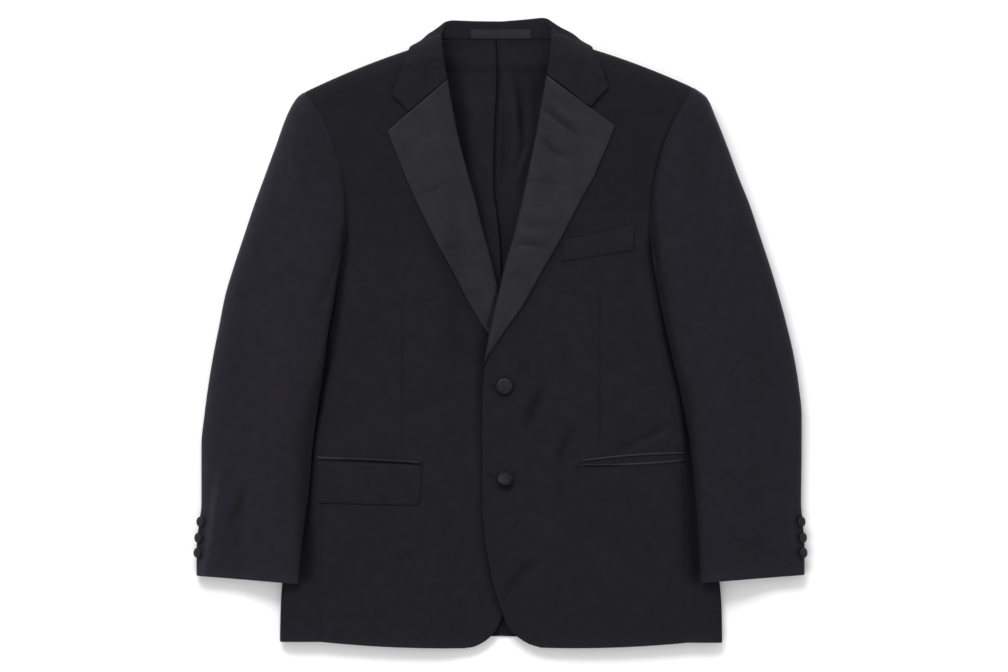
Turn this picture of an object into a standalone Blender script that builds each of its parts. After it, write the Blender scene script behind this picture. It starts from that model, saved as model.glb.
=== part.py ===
# Tuxedo jacket, buttoned and laid flat on its back with the sleeves beside it.
# X runs to the wearer's left, Y from the hem to the collar, Z up from the surface it lies on.
# Lengths are in millimetres and become metres when a mesh is made.
# "right" and "left" are the wearer's. Side tables give x as a distance towards that side.
import math

import bpy
import numpy as np

MM = 0.001

# Cloths, as finished walls
WOOL = 2.0
SATIN = 1.6
LINING = 1.0
COLLAR_CLOTH = 1.8
SEAM_GAP = 0.3
LAID_GAP = 0.6

# Main sizes
SHOULDER_SEAM_HEIGHT = 20.0
SHOULDER_ROLL = 22.0
SHOULDER_SLANT = 0.93    # the shoulder line's slope, to turn a Y distance into one across the seam
SIDE_ROLL = 14.0
MIDDLE_DIP = 0.2         # share by which the fronts sink along the middle
MIDDLE_DIP_HALF = 60.0
LAP_DROP = 2.7
LAPEL_DROP = 8.4
BUTTON_RADIUS = 10.4
BUTTON_HEIGHT = 5.0
CUFF_BUTTON_RADIUS = 6.2
CUFF_BUTTON_HEIGHT = 3.6
CUFF_BUTTON_GAP = 0.3


def table(columns, rows):
    # A short table as a dictionary of named columns
    return dict(zip(columns.split(), np.array(rows, float).T))


# How high the front lies above the surface, from hem to collar
BODY_HEIGHT = table("y height", [
    (-385, 15.5), (-300, 17), (-200, 19), (-130, 20.5), (-60, 23),
    (0, 27), (60, 31), (110, 34.5), (170, 38), (230, 40), (300, 41), (360, 41),
])

# How far the right front lies lower near the middle, where the left front and its lapel lap over it
LAP = table("y drop", [
    (-390, LAP_DROP), (-100, LAP_DROP), (-60, 4.5), (-30, LAPEL_DROP), (75, LAPEL_DROP),
    (120, 5), (200, 0), (380, 0),
])
LAP_EDGE_X = 40.0       # from here outwards the right front rises again
LAP_RISE = 38.0

# Fronts: each row is a section from the front edge or roll line to the side seam or armhole
FRONT_COLUMNS = "inner_x inner_y outer_x outer_y bow"
FRONT_ROWS = {
    "left": table(FRONT_COLUMNS, [
        (48, -377.4, 223, -371.5, -2.8),
        (34, -373.2, 223, -366, -2.8),
        (22.8, -366.6, 223, -358, -2.5),
        (12.5, -358, 223, -348, -2),
        (5.5, -346.5, 222.5, -335, -1),
        (0, -330, 222.5, -316, 0),
        (-8.5, -303, 222, -289, 0),
        (-16, -266, 221.5, -252, 0),
        (-21.5, -215, 221, -205, 0),
        (-22.2, -150, 216, -146, 0),
        (-22.2, -85, 206, -84, 0),
        (-17.5, -30, 196, -28, 0),
        (-5.5, 21, 186, 30, 0),
        (10.5, 90, 179.5, 108, 0),
        (27.6, 152, 181.5, 166, 0),
        (42.5, 218, 193.5, 222, 2),
        (66, 318, 213, 267, 3),
        (85.2, 349, 230.4, 295.8, 3.4),
    ]),
    "right": table(FRONT_COLUMNS, [
        (44, -378.2, 216, -370.5, -2.5),
        (34, -376.8, 216, -366, -2.5),
        (24, -372.6, 216, -358, -2.5),
        (14.5, -366, 216, -348, -2),
        (6, -355.5, 216, -335, -1),
        (-1.5, -339, 216, -316, 0),
        (-12, -303, 216, -289, 0),
        (-21, -266, 216, -252, 0),
        (-27.5, -215, 216, -205, 0),
        (-29.4, -150, 213, -146, 0),
        (-29.4, -85, 208, -84, 0),
        (-17, -30, 200.5, -28, 0),
        (-4, 21, 193, 30, 0),
        (15, 84, 187.5, 108, 0),
        (33.5, 154, 188.4, 168, 0),
        (51.5, 222, 201, 223, 2),
        (76, 316, 221, 270, 3),
        (85.2, 349, 236.4, 289.8, 3.6),
    ]),
}
SIDE_ROWS = 13          # rows from the hem up to the underarm, the last one on the armhole
ARMHOLE_STEPS = 8       # sections of each front and back along the armhole
FRONT_STEPS = 12
SIDE_STEPS = 8
BACK_NECK_STEPS = 2
BACK_SHOULDER_STEPS = 5

# Edge of the body where front turns to back, under the sleeve
BODY_EDGE = {
    "left": table("y x", [
        (-385, 266), (-334, 265.2), (-299, 262.8), (-216, 250), (-140, 234), (-78, 218.5), (-9, 202.4),
        (35, 193.2), (69, 186.6), (100, 181.5), (125, 189), (170, 204), (220, 222), (300, 250),
    ]),
    "right": table("y x", [
        (-385, 266), (-334, 265), (-299, 262.8), (-216, 249), (-140, 233), (-78, 219), (-9, 209.8),
        (35, 202.2), (69, 196.6), (100, 189.5), (125, 196), (170, 211), (220, 228), (300, 255),
    ]),
}

# Back seams: where the side panel ends on the back, and the back's own armhole
BACK_SEAM = table("y x", [
    (-385, 200), (-200, 188), (-60, 170), (30, 156), (110, 150),
])
BACK_ARMHOLE = {
    "left": table("share x y", [
        (0, 185.5, 124), (0.25, 192, 166), (0.5, 201.5, 210), (0.75, 215, 255), (1, 230.4, 295.8),
    ]),
    "right": table("share x y", [
        (0, 193, 124), (0.25, 200.5, 166), (0.5, 210, 208), (0.75, 222.5, 250), (1, 236.4, 289.8),
    ]),
}
UNDERARM = {"left": (181.5, 100.0), "right": (189.5, 100.0)}
NECK_POINT = (85.2, 349.0)
BACK_NECK = (0.0, 351.7)
BACK_HEM_Y = -363.6
BACK_MIDDLE_Y = 112.0    # on the middle seam, level with the underarm
BACK_SPACING = 1.7       # rows stand closer near the neck
NECK_LIFT = 3.2          # room for the collar's fall, which lies under the back of the neck
NECK_LIFT_Y = 311.0
NECK_LIFT_X = 112.0
BACK_NECK_HEIGHT = table("x height", [(0, 6), (40, 6), (60, 8.5), (85.2, 20), (260, 20)])

# Sleeves: inner edge by y, with its underside, its upper side and how far it lies on the body
INNER_EDGE_COLUMNS = "y x low high ledge"
INNER_EDGE = {
    "left": table(INNER_EDGE_COLUMNS, [
        (-299.4, 239.6, 19, 28, 28), (-250, 237.5, 20.5, 29.5, 24), (-190, 233, 21.3, 30.3, 18),
        (-130, 226.8, 22, 31, 12), (-70, 215.5, 22.5, 31.5, 6), (-35, 207.5, 20, 32, 4),
        (0, 199.4, 17, 35, 2), (35, 192, 15, 37, 2),
        (69, 185.6, 14, 38.5, 1), (100, 181.5, 0, 34, 0),
    ]),
    "right": table(INNER_EDGE_COLUMNS, [
        (-300.6, 243.6, 19, 28, 24), (-250, 238.4, 20.5, 29.5, 23), (-190, 230.7, 21.3, 30.3, 18),
        (-130, 225.3, 22, 31, 12), (-70, 217, 22.5, 31.5, 6), (-35, 212, 20, 32, 4),
        (0, 207.6, 17, 35, 2), (35, 201, 15, 37, 2),
        (69, 195.6, 14, 38.5, 1), (100, 189.5, 0, 34, 0),
    ]),
}
OUTER_EDGE = {
    "left": table("y x", [
        (-290, 364.8), (-260, 364.8), (-224, 362.4), (-206, 360.6), (-134, 361.2), (-98, 361.2),
        (-62, 357.6), (-26, 351.6), (10, 343.2), (46, 333.6), (82, 322.8), (118, 310.8),
        (154, 298.8), (190, 284.4), (226, 271.2), (262, 256.8),
        (283, 247.2), (295.8, 230.4),
    ]),
    "right": table("y x", [
        (-291, 366), (-260, 366), (-224, 362.4), (-206, 360), (-134, 360), (-98, 356.4),
        (-62, 351.6), (-26, 345.6), (10, 338.4), (46, 331.2), (82, 320.4), (118, 308.4),
        (154, 296.4), (190, 283.2), (226, 270), (262, 256.8),
        (283, 244.8), (289.8, 236.4),
    ]),
}
CUFF_CORNER = {"left": ((239.6, -299.4), (364.8, -290.0)), "right": ((243.6, -300.6), (366.0, -291.0))}
SLEEVE_TOP = table("share height", [(0, 38), (0.15, 37), (0.3, 33), (0.5, 28), (0.75, 22), (1, 17)])
SLEEVE_ROLL = table("share width", [(0, 20), (0.2, 18), (0.5, 12), (1, 9)])
SLEEVE_STEPS = 14
SLEEVE_SPACING = 1.22    # rings stand closer near the shoulder
SLEEVE_EASE = 0.4        # share of the sleeve over which the armhole's shape eases out
SLEEVE_NOSE = 9.0        # width of the roll along the inner edge
SLEEVE_EDGE = 0.45       # height of the outer edge as a share of the sleeve's
SLEEVE_FALL = 30.0       # from its ledge on the body down to the surface
RING_STEPS = 24
TOP_SLEEVE_START = 23
TOP_SLEEVE_END = 13 + RING_STEPS

# Lapels: each row runs from the fold to the outer edge, from the break up to the gorge
LAPEL_ROWS = {
    "left": table("fold_x fold_y edge_x edge_y", [
        (-20.6, -34, -17.6, -30), (-12.4, 10, 4.1, 3), (-4, 45, 24, 30.6), (3.5, 80, 49.8, 76.2),
        (14, 114.6, 71.8, 114.6), (25.9, 163.8, 95.6, 160.2), (33, 196, 109.2, 184.2),
        (44, 252, 123, 216), (54, 309.6, 136.8, 248.6),
    ]),
    "right": table("fold_x fold_y edge_x edge_y", [
        (-20, -20, -7, -24), (-9, 22, 15.8, 1.1), (2.9, 57, 37.8, 36.6), (10, 84, 57.6, 75),
        (18.6, 114, 79.6, 114.6), (31, 163, 97.4, 150.6), (40.5, 196, 112.3, 184.2),
        (54, 250, 125, 215), (63.6, 304.8, 135.6, 243),
    ]),
}
LAPEL_RETURN = 12.0     # how far the hidden layer reaches under the fold
LAPEL_SOFT_REACH = 14.0
LAPEL_OVER = 4.0        # half the height of the folded edge
LAPEL_ROLL = 2.0
LAPEL_CLEAR = 1.1       # room between a lapel and the front under it

# Collar: fold, neck seam, middle of the fall and its edge, first behind the neck, then over the fronts
COLLAR_BACK_COLUMNS = (
    "fold_x fold_y fold_z seam_x seam_y seam_z fall_x fall_y fall_z edge_x edge_y edge_z"
)
COLLAR_BACK = {
    "left": table(COLLAR_BACK_COLUMNS, [
        (0, 374, 4, 0, 352.8, 8, 0, 352, 0, 0, 330, 0),
        (28, 376, 4, 28, 352.8, 8.2, 30, 352, 0, 31, 330.5, 0),
        (49, 377.6, 6.5, 54, 353, 9.5, 60, 355, 0, 68, 331, 0),
        (57, 371, 13, 70, 353.4, 15, 82, 354.5, 4.5, 96, 338, 1.2),
        (60.5, 361, 23, 82, 352.6, 22, 93, 353.4, 17, 108, 345.6, 16),
    ]),
    "right": table(COLLAR_BACK_COLUMNS, [
        (0, 374, 4, 0, 352.8, 8, 0, 352, 0, 0, 330, 0),
        (32, 374.4, 4, 30, 352.8, 8.2, 31, 352, 0, 32, 330.5, 0),
        (58, 374.6, 6.5, 56, 353, 9.5, 63, 355, 0, 69, 331, 0),
        (67.5, 368, 13, 71, 353.4, 15, 83, 354.5, 4.5, 96, 338, 1.2),
        (71, 359, 23, 82, 352.6, 22, 93, 353.4, 17, 108, 345.6, 16),
    ]),
}
COLLAR_FRONT = {
    "left": table("fold_x fold_y seam_x seam_y fall_x fall_y edge_x edge_y", [
        (60, 347, 80.5, 346, 95, 344, 112, 338),
        (58.5, 334, 72.5, 334, 97, 328, 120, 321),
        (56.5, 321, 65.5, 323, 98, 303, 125.5, 304),
        (55.2, 312, 60.5, 309, 106.4, 272.8, 128.8, 295.4),
    ]),
    "right": table("fold_x fold_y seam_x seam_y fall_x fall_y edge_x edge_y", [
        (70.5, 346, 82, 345, 96, 344, 112, 338),
        (69, 333, 79, 334, 99, 326, 119, 319),
        (66.5, 317, 74, 319, 100, 298, 125, 300),
        (64.6, 307, 71, 306, 110.3, 267.2, 131.3, 287),
    ]),
}
COLLAR_OVER = 4.6       # top of the fall above the front
COLLAR_UNDER = 3.8      # underside of the stand below the front's upper face
COLLAR_FOLD = 4.0       # half the height of the folded edge

# Bare label on the stand, as (y, z) of its lower and upper edge
LABEL_HALF = 36.0
LABEL_THICKNESS = 0.8
LABEL_ROWS = ((354.0, 8.8), (365.6, 8.3))

# Lining: lies in the back, from the neck seam down past the point of the neck opening
LINING_TOP_Y = 347.0
LINING_BOTTOM_Y = 22.0
LINING_ROWS = 12
PLEAT_X = table("y x", [(-30, 2), (90, 0), (144, -5.2), (176, -9), (245, -7.8), (310, -5), (360, -6.5)])
PLEAT_LIFT = 1.7         # from one layer of the pleat to the next
PLEAT_SECTION = table("offset level", [
    (-28, 1.3), (-14, 2), (-3, 2), (-0.9, 1.86), (0, 1.5), (-0.9, 1.14), (-3, 1), (-9, 1), (-12, 1),
    (-14.1, 0.86), (-15, 0.5), (-14.1, 0.14), (-12, 0), (3, 0),
])
LINING_FOLD = 2.6        # a soft fold beside the pleat
LINING_FOLD_OFFSET = 28.0
LINING_FOLD_HALF = 9.0
LINING_NECK_LIFT = 1.6
LINING_SIDE_LIFT = 3.0
LINING_HALF = table("y x", [(-30, 26), (40, 34), (120, 50), (200, 66), (290, 78), (347, 56)])

# Pockets on the fronts, as corners towards that side, all in (x, y)
WELT = ((76, 112.2), (160, 129.6), (158.6, 100.4), (73, 86.4))
JET_UPPER = ((98, -151.2), (221, -142), (221, -145.2), (98, -154.6))
JET_LOWER = ((98, -156.4), (221, -150.6), (221, -154.4), (98, -160))
JET_RIGHT = ((96.5, -153.2), (220.5, -147.6), (220.5, -151.8), (96.5, -157.4))
FLAP = ((96, -158.2), (220.5, -153), (220.5, -203), (97.5, -206))
FLAP_CORNER = 6.0
POCKET_STEPS = 10

# Buttons: places of the front buttons and, down each sleeve's outer edge, of the cuff buttons
FRONT_BUTTONS = {"upper": (4.2, -63.0), "lower": (4.8, -173.4)}
CUFF_BUTTON_Y = (-226.2, -245.4, -263.4)
CUFF_BUTTON_COLUMNS = (RING_STEPS // 2 - 2, RING_STEPS // 2 - 1)    # they sit on this strip of the outer roll

MATERIALS = {
    "wool": ((0.016, 0.016, 0.020), 0.9),
    "satin": ((0.026, 0.026, 0.028), 0.45),
    "lining": ((0.014, 0.014, 0.018), 0.55),
    "label": ((0.030, 0.030, 0.035), 0.7),
}
SIGN = {"right": -1.0, "left": 1.0}


def smooth(knots, values, at):
    # Smooth curve through the values that never swings past a knot
    knots, values, at = (np.asarray(item, float) for item in (knots, values, at))
    secant = np.diff(values) / np.diff(knots)
    before, after = secant[:-1], secant[1:]
    same = before * after > 0
    inner = np.where(same, 2 * before * after / np.where(same, before + after, 1), 0)
    slope = np.concatenate([secant[:1], inner, secant[-1:]])
    at = np.clip(at, knots[0], knots[-1])
    i = np.clip(np.searchsorted(knots, at, side="right") - 1, 0, len(knots) - 2)
    step = knots[i + 1] - knots[i]
    t = (at - knots[i]) / step
    start = values[i] * (1 + 2 * t) + slope[i] * step * t
    end = values[i + 1] * (3 - 2 * t) - slope[i + 1] * step * (1 - t)
    return start * (1 - t) ** 2 + end * t ** 2


def read(rows, column, at, key="y"):
    return smooth(rows[key], rows[column], at)


def ease(value):
    value = np.clip(value, 0, 1)
    return value * value * (3 - 2 * value)


def roll(distance, width):
    # Share of full height at a distance from an edge that rolls over in a quarter ellipse
    share = 1 - np.clip(np.asarray(distance, float) / width, 0, 1)
    return np.sqrt(1 - share * share)


def unit(vector):
    length = np.linalg.norm(vector, axis=-1, keepdims=True)
    return vector / np.where(length < 1e-9, 1, length)


# Heights of the fronts and backs
def shoulder_line(side, x):
    rows = FRONT_ROWS[side]
    tip_x, tip_y, bow = rows["outer_x"][-1], rows["outer_y"][-1], rows["bow"][-1]
    share = (np.asarray(x, float) - NECK_POINT[0]) / (tip_x - NECK_POINT[0])
    bend = 4 * bow * np.clip(share, 0, 1) * (1 - np.clip(share, 0, 1))
    return NECK_POINT[1] + share * (tip_y - NECK_POINT[1]) + bend


def front_height(side, x, y):
    # Upper face of a front. It rolls down to the body's edge and to the shoulder seam.
    dip = MIDDLE_DIP * np.exp(-(np.asarray(x, float) / MIDDLE_DIP_HALF) ** 2)
    full = read(BODY_HEIGHT, "height", y) * (1 - dip)
    if side == "right":
        full = full - read(LAP, "drop", y) * (1 - ease((x - LAP_EDGE_X) / LAP_RISE))
    middle = read(BODY_HEIGHT, "height", y) / 2
    full = middle + (full - middle) * roll(read(BODY_EDGE[side], "x", y) - x, SIDE_ROLL)
    below = (shoulder_line(side, x) - y) * SHOULDER_SLANT
    return SHOULDER_SEAM_HEIGHT + (full - SHOULDER_SEAM_HEIGHT) * roll(below, SHOULDER_ROLL)


def back_height(side, x, y):
    # Underside of a back: flat on the surface, lifted over the collar's fall and up to the shoulder seam
    lift = NECK_LIFT * ease((y - NECK_LIFT_Y) / 14) * (1 - ease((x - NECK_LIFT_X) / 26))
    top = back_top(side, x)
    edge = smooth(BACK_NECK_HEIGHT["x"], BACK_NECK_HEIGHT["height"], x)
    return lift + (edge - lift) * (1 - roll((top - y) * SHOULDER_SLANT, SHOULDER_ROLL))


def back_top(side, x):
    # Neck edge of the back, then the shoulder seam
    neck = BACK_NECK[1] + (NECK_POINT[1] - BACK_NECK[1]) * x / NECK_POINT[0]
    return np.where(x < NECK_POINT[0], neck, shoulder_line(side, x))


# Panels as grids of points, rows from the hem up and columns from the middle outwards
def coons(bottom, top, left, right):
    # Fills the space between four edges
    u = np.linspace(0, 1, len(bottom))[None, :, None]
    v = np.linspace(0, 1, len(left))[:, None, None]
    across = (1 - u) * left[:, None] + u * right[:, None]
    along = (1 - v) * bottom[None] + v * top[None]
    corners = (1 - v) * ((1 - u) * bottom[0] + u * bottom[-1]) + v * ((1 - u) * top[0] + u * top[-1])
    return across + along - corners


def front_plan(side):
    rows = FRONT_ROWS[side]
    count = len(rows["bow"])
    lower = np.arange(SIDE_ROWS)
    upper = SIDE_ROWS + np.arange(ARMHOLE_STEPS + 1) * (count - 1 - SIDE_ROWS) / ARMHOLE_STEPS
    at = np.concatenate([lower, upper])
    index = np.arange(count)
    line = {name: smooth(index, values, at) for name, values in rows.items()}
    u = np.linspace(0, 1, FRONT_STEPS + 1)[None, :]
    inner_x = line["inner_x"][:, None]
    x = inner_x + (line["outer_x"][:, None] - inner_x) * u
    y = line["inner_y"][:, None] + (line["outer_y"] - line["inner_y"])[:, None] * u
    return x, y + line["bow"][:, None] * 4 * u * (1 - u)


def front_grid(side):
    x, y = front_plan(side)
    return np.stack([x, y, front_height(side, x, y)], axis=-1)


def side_grid(side, front):
    # From the front seam over the body's edge to the back seam
    grid = []
    half = SIDE_STEPS // 2
    for row in range(SIDE_ROWS):
        seam_x, y, seam_z = front[row, -1]
        edge = float(read(BODY_EDGE[side], "x", y))
        middle = float(read(BODY_HEIGHT, "height", y)) / 2
        start = math.acos(1 - min((edge - seam_x) / SIDE_ROLL, 1))
        flat = min(max((edge - seam_x - SIDE_ROLL) / 10, 0), 1)
        points = [(seam_x, y, seam_z)]
        for k in range(1, half + 1):
            turn = (1 - flat) * start * (1 - k / half)
            turn += flat * math.pi / 2 * (1 - (k - 1) / (half - 1))
            points.append((edge - SIDE_ROLL * (1 - math.cos(turn)), y, middle * (1 + math.sin(turn))))
        for k in range(1, half):
            turn = math.pi / 2 * k / (half - 1)
            points.append((edge - SIDE_ROLL * (1 - math.cos(turn)), y, middle * (1 - math.sin(turn))))
        points.append((float(read(BACK_SEAM, "x", y)), y, 0.0))
        grid.append(points)
    return np.array(grid)


def armhole_ring(side, front):
    # Closed seam round the armhole, from the underarm up the front and down the back
    half = SIDE_STEPS // 2
    under = np.array([*UNDERARM[side], float(read(BODY_HEIGHT, "height", UNDERARM[side][1])) / 2])
    seam = front[SIDE_ROWS, -1]
    top = front[SIDE_ROWS:, -1]
    share = np.linspace(1, 0, ARMHOLE_STEPS + 1)
    rows = BACK_ARMHOLE[side]
    x = smooth(rows["share"], rows["x"], share)
    y = smooth(rows["share"], rows["y"], share)
    back = np.stack([x, y, back_height(side, x, y)], axis=-1)
    back[0] = top[-1]
    rise = [under + (seam - under) * k / half for k in range(half)]
    fall = [back[-1] + (under - back[-1]) * k / half for k in range(1, half)]
    for k, point in enumerate(fall, 1):
        point[2] = back[-1][2] + (under[2] - back[-1][2]) * (k / half) ** 2
    return np.array([*rise, *top, *back[1:], *fall])


def back_grid(side, panel, ring):
    # From the seam down the middle to the side seam and armhole
    rows = SIDE_ROWS + ARMHOLE_STEPS + 1
    start = len(ring) - SIDE_STEPS // 2
    armhole = ring[start - ARMHOLE_STEPS:start + 1][::-1]
    outer = np.concatenate([panel[:, -1], armhole])
    top_x = np.concatenate([
        np.linspace(0, NECK_POINT[0], BACK_NECK_STEPS + 1)[:-1],
        np.linspace(NECK_POINT[0], outer[-1][0], BACK_SHOULDER_STEPS + 1),
    ])
    top_y = back_top(side, top_x)
    share = np.linspace(0, 1, len(top_x))
    bottom = np.stack([outer[0][0] * share, BACK_HEM_Y + (outer[0][1] - BACK_HEM_Y) * share], axis=-1)
    upper = 1 - (1 - np.linspace(0, 1, ARMHOLE_STEPS + 1)) ** BACK_SPACING
    above = BACK_MIDDLE_Y + (BACK_NECK[1] - BACK_MIDDLE_Y) * upper
    seam_y = panel[:, -1, 1]
    below = BACK_HEM_Y + (seam_y[-1] - BACK_HEM_Y) * (seam_y - seam_y[0]) / (seam_y[-1] - seam_y[0])
    middle_y = [*below, *above]
    middle = np.stack([np.zeros(rows), middle_y], axis=-1)
    plan = coons(bottom, np.stack([top_x, top_y], axis=-1), middle, outer[:, :2])
    height = back_height(side, plan[..., 0], plan[..., 1])
    grid = np.concatenate([plan, height[..., None]], axis=-1)
    grid[:, -1] = outer
    grid[-1, BACK_NECK_STEPS:, 2] = SHOULDER_SEAM_HEIGHT
    return grid


def sleeve_grid(side, ring):
    # Rings from the armhole to the cuff, each eased from the armhole's shape to a flattened tube
    inner_end, outer_end = CUFF_CORNER[side]
    tip = ring[SIDE_STEPS // 2 + ARMHOLE_STEPS]
    grid = []
    for step in range(SLEEVE_STEPS + 1):
        share = (step / SLEEVE_STEPS) ** SLEEVE_SPACING
        inner_y = UNDERARM[side][1] + (inner_end[1] - UNDERARM[side][1]) * share
        outer_y = tip[1] + (outer_end[1] - tip[1]) * share
        rows = INNER_EDGE[side]
        inner = np.array([float(read(rows, "x", inner_y)), inner_y])
        outer = np.array([float(read(OUTER_EDGE[side], "x", outer_y)), outer_y])
        low, high, ledge = (float(read(rows, name, inner_y)) for name in ("low", "high", "ledge"))
        top = float(smooth(SLEEVE_TOP["share"], SLEEVE_TOP["height"], share))
        width = float(smooth(SLEEVE_ROLL["share"], SLEEVE_ROLL["width"], share))
        grid.append(tube_section(inner, outer, low, high, ledge, top, width))
    grid = np.array(grid)
    fade = 1 - ease(np.linspace(0, 1, SLEEVE_STEPS + 1) ** SLEEVE_SPACING / SLEEVE_EASE)
    return grid + (ring - grid[0])[None] * fade[:, None, None]


def tube_section(inner, outer, low, high, ledge, top, width):
    length = np.linalg.norm(outer - inner)
    quarter = RING_STEPS // 8
    turns = np.arange(quarter + 1) / quarter * math.pi / 2
    near = SLEEVE_NOSE * (1 - np.cos(turns))
    far = length - width * (1 - np.cos(turns))
    middle = np.linspace(near[-1], far[-1], RING_STEPS // 2 - 2 * quarter + 1)
    distance = np.concatenate([near, middle[1:-1], far[::-1]])
    upper = high + (top - high) * ease((distance - ledge) / (0.5 * length))
    lower = low * (1 - ease((distance - ledge) / SLEEVE_FALL))
    inner_mid, outer_mid = (low + high) / 2, top * SLEEVE_EDGE
    mid = inner_mid + (outer_mid - inner_mid) * ease(distance / length)
    rise = roll(distance, SLEEVE_NOSE) * roll(length - distance, width)
    plan = inner + (outer - inner) * (distance / length)[:, None]
    upper = np.column_stack([plan, mid + (upper - mid) * rise])
    lower = np.column_stack([plan, mid + (lower - mid) * rise])
    return np.concatenate([upper, lower[-2:0:-1]])


# Walls
def world(side, grid):
    return grid * np.array([SIGN[side], 1, 1])


def grid_normals(grid):
    along = np.gradient(grid, axis=0)
    across = np.gradient(grid, axis=1)
    return unit(np.cross(across, along))


def make_mesh(name, points, faces, material):
    mesh = bpy.data.meshes.new(name)
    mesh.from_pydata((np.asarray(points) * MM).tolist(), [], [list(map(int, face)) for face in faces])
    mesh.validate()
    mesh.materials.append(material_for(material))
    item = bpy.data.objects.new(name, mesh)
    bpy.context.collection.objects.link(item)
    mesh.shade_smooth()
    mesh.set_sharp_from_angle(angle=math.radians(40))
    return item


def wall(name, outer, inner, material):
    # Closed sheet between two grids of points, outer face first
    rows, cols = outer.shape[:2]
    count = rows * cols
    index = np.arange(count).reshape(rows, cols)
    faces = []
    for j in range(rows - 1):
        for i in range(cols - 1):
            a, b, c, d = index[j, i], index[j, i + 1], index[j + 1, i + 1], index[j + 1, i]
            faces.append((a, b, c, d))
            faces.append((a + count, d + count, c + count, b + count))
    rim = [*index[0, :], *index[1:, -1], *index[-1, -2::-1], *index[-2:0:-1, 0]]
    points = np.concatenate([outer.reshape(-1, 3), inner.reshape(-1, 3)])
    rank = points @ np.array([0.31, 1.0, 0.17])
    for a, b in zip(rim, rim[1:] + rim[:1]):
        # Both sides of a seam are cut along the same diagonal
        if rank[a] > rank[b]:
            faces.append((a, a + count, b + count, b))
        else:
            faces.append((b, a, a + count, b + count))
    return make_mesh(name, points, split(faces), material)


def split(faces):
    triangles = []
    for face in faces:
        triangles.append(face[:3])
        if len(face) == 4:
            triangles.append((face[0], face[2], face[3]))
    return triangles


def material_for(name):
    found = bpy.data.materials.get(name)
    if found:
        return found
    colour, roughness = MATERIALS[name]
    made = bpy.data.materials.new(name)
    made.use_nodes = True
    shader = made.node_tree.nodes["Principled BSDF"]
    shader.inputs["Base Color"].default_value = (*colour, 1)
    shader.inputs["Roughness"].default_value = roughness
    shader.inputs["Metallic"].default_value = 0
    return made


def place_key(point):
    return tuple(np.round(point, 2) + 0.0)


def shared_normals(grids, fixed):
    # One normal for each point of the whole shell, so walls that meet at a seam stay parallel
    total = {}
    for grid in grids.values():
        a, b, c, d = grid[:-1, :-1], grid[:-1, 1:], grid[1:, 1:], grid[1:, :-1]
        face = np.cross(c - a, d - b)
        for corner in (a, b, c, d):
            for point, normal in zip(corner.reshape(-1, 3), face.reshape(-1, 3)):
                key = place_key(point)
                total[key] = total.get(key, 0) + normal
    total.update(fixed)
    return {
        name: unit(np.array([[total[place_key(point)] for point in row] for row in grid]))
        for name, grid in grids.items()
    }


def underarm_normals(side, ring):
    # Body and sleeve face each other under the arm, so the seam there opens downwards
    half = SIDE_STEPS // 2
    fixed = {}
    for k in range(-half, half + 1):
        turn = math.pi / 2 * k / half
        fixed[place_key(world(side, ring[k]))] = np.array([0, -math.cos(turn), math.sin(turn)])
    return fixed


def inset(grid, normals, seams):
    # Moves each seam edge half the gap into its panel
    moved = grid.copy()
    half = SEAM_GAP / 2
    for edge in seams:
        index, sign = {
            "first_row": ((0, slice(None)), 1), "last_row": ((-1, slice(None)), -1),
            "first_column": ((slice(None), 0), -1), "last_column": ((slice(None), -1), 1),
        }[edge]
        line = grid[index]
        along = unit(np.gradient(line, axis=0))
        moved[index] += half * sign * unit(np.cross(normals[index], along))
    return moved


def build_shell():
    grids, fixed = {}, {}
    for side in ("right", "left"):
        front = front_grid(side)
        ring = armhole_ring(side, front)
        fixed.update(underarm_normals(side, ring))
        panel = side_grid(side, front)
        back = back_grid(side, panel, ring)
        head = np.concatenate([ring[:SIDE_STEPS // 2 + 1][::-1], ring[-SIDE_STEPS // 2:][::-1]])
        panel = np.concatenate([panel, head[None]])
        sleeve = sleeve_grid(side, ring)
        top = np.take(sleeve, range(TOP_SLEEVE_START, TOP_SLEEVE_END + 1), axis=1, mode="wrap")
        under = np.take(sleeve, range(TOP_SLEEVE_END, TOP_SLEEVE_START + RING_STEPS + 1), axis=1, mode="wrap")
        pieces = {
            "front": front, "side_panel": panel, "back": back[:, ::-1],
            "top_sleeve": top[::-1], "under_sleeve": under[::-1],
        }
        for name, grid in pieces.items():
            grid = world(side, grid)
            grids[f"{name}_{side}"] = grid[:, ::-1] if side == "right" else grid
    return grids, shared_normals(grids, fixed)


ALL_ROUND = ("first_column", "last_column", "last_row")
FRONT_SEAMS = {"right": ("first_column", "last_row"), "left": ("last_column", "last_row")}


def build_body():
    grids, normals = build_shell()
    for name, grid in grids.items():
        piece, side = name.rsplit("_", 1)
        normal = normals[name].copy()
        if piece in ("front", "back"):
            level_shoulder(normal, grid)
            grid = grid.copy()
            grid[-1, 1:-1, 2] += SEAM_GAP / 3 * (1 if piece == "front" else -1)
        outer = inset(grid, normal, FRONT_SEAMS[side] if piece == "front" else ALL_ROUND)
        wall(name, outer, outer - normal * WOOL, "wool")


def level_shoulder(normal, grid):
    # At the shoulder seam both walls end on one level plane, so their normals there lie level
    line = grid[-1]
    along = unit(np.gradient(line, axis=0))
    level = np.stack([-along[:, 1], along[:, 0], np.zeros(len(line))], axis=-1)
    level *= np.sign(level[:, 1:2])
    tip = np.abs(line[:, 0]).max()
    keep = (np.abs(line[:, 0]) >= NECK_POINT[0] - 1) & (np.abs(line[:, 0]) < tip - 1)
    normal[-1][keep] = unit(level[keep])


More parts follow.
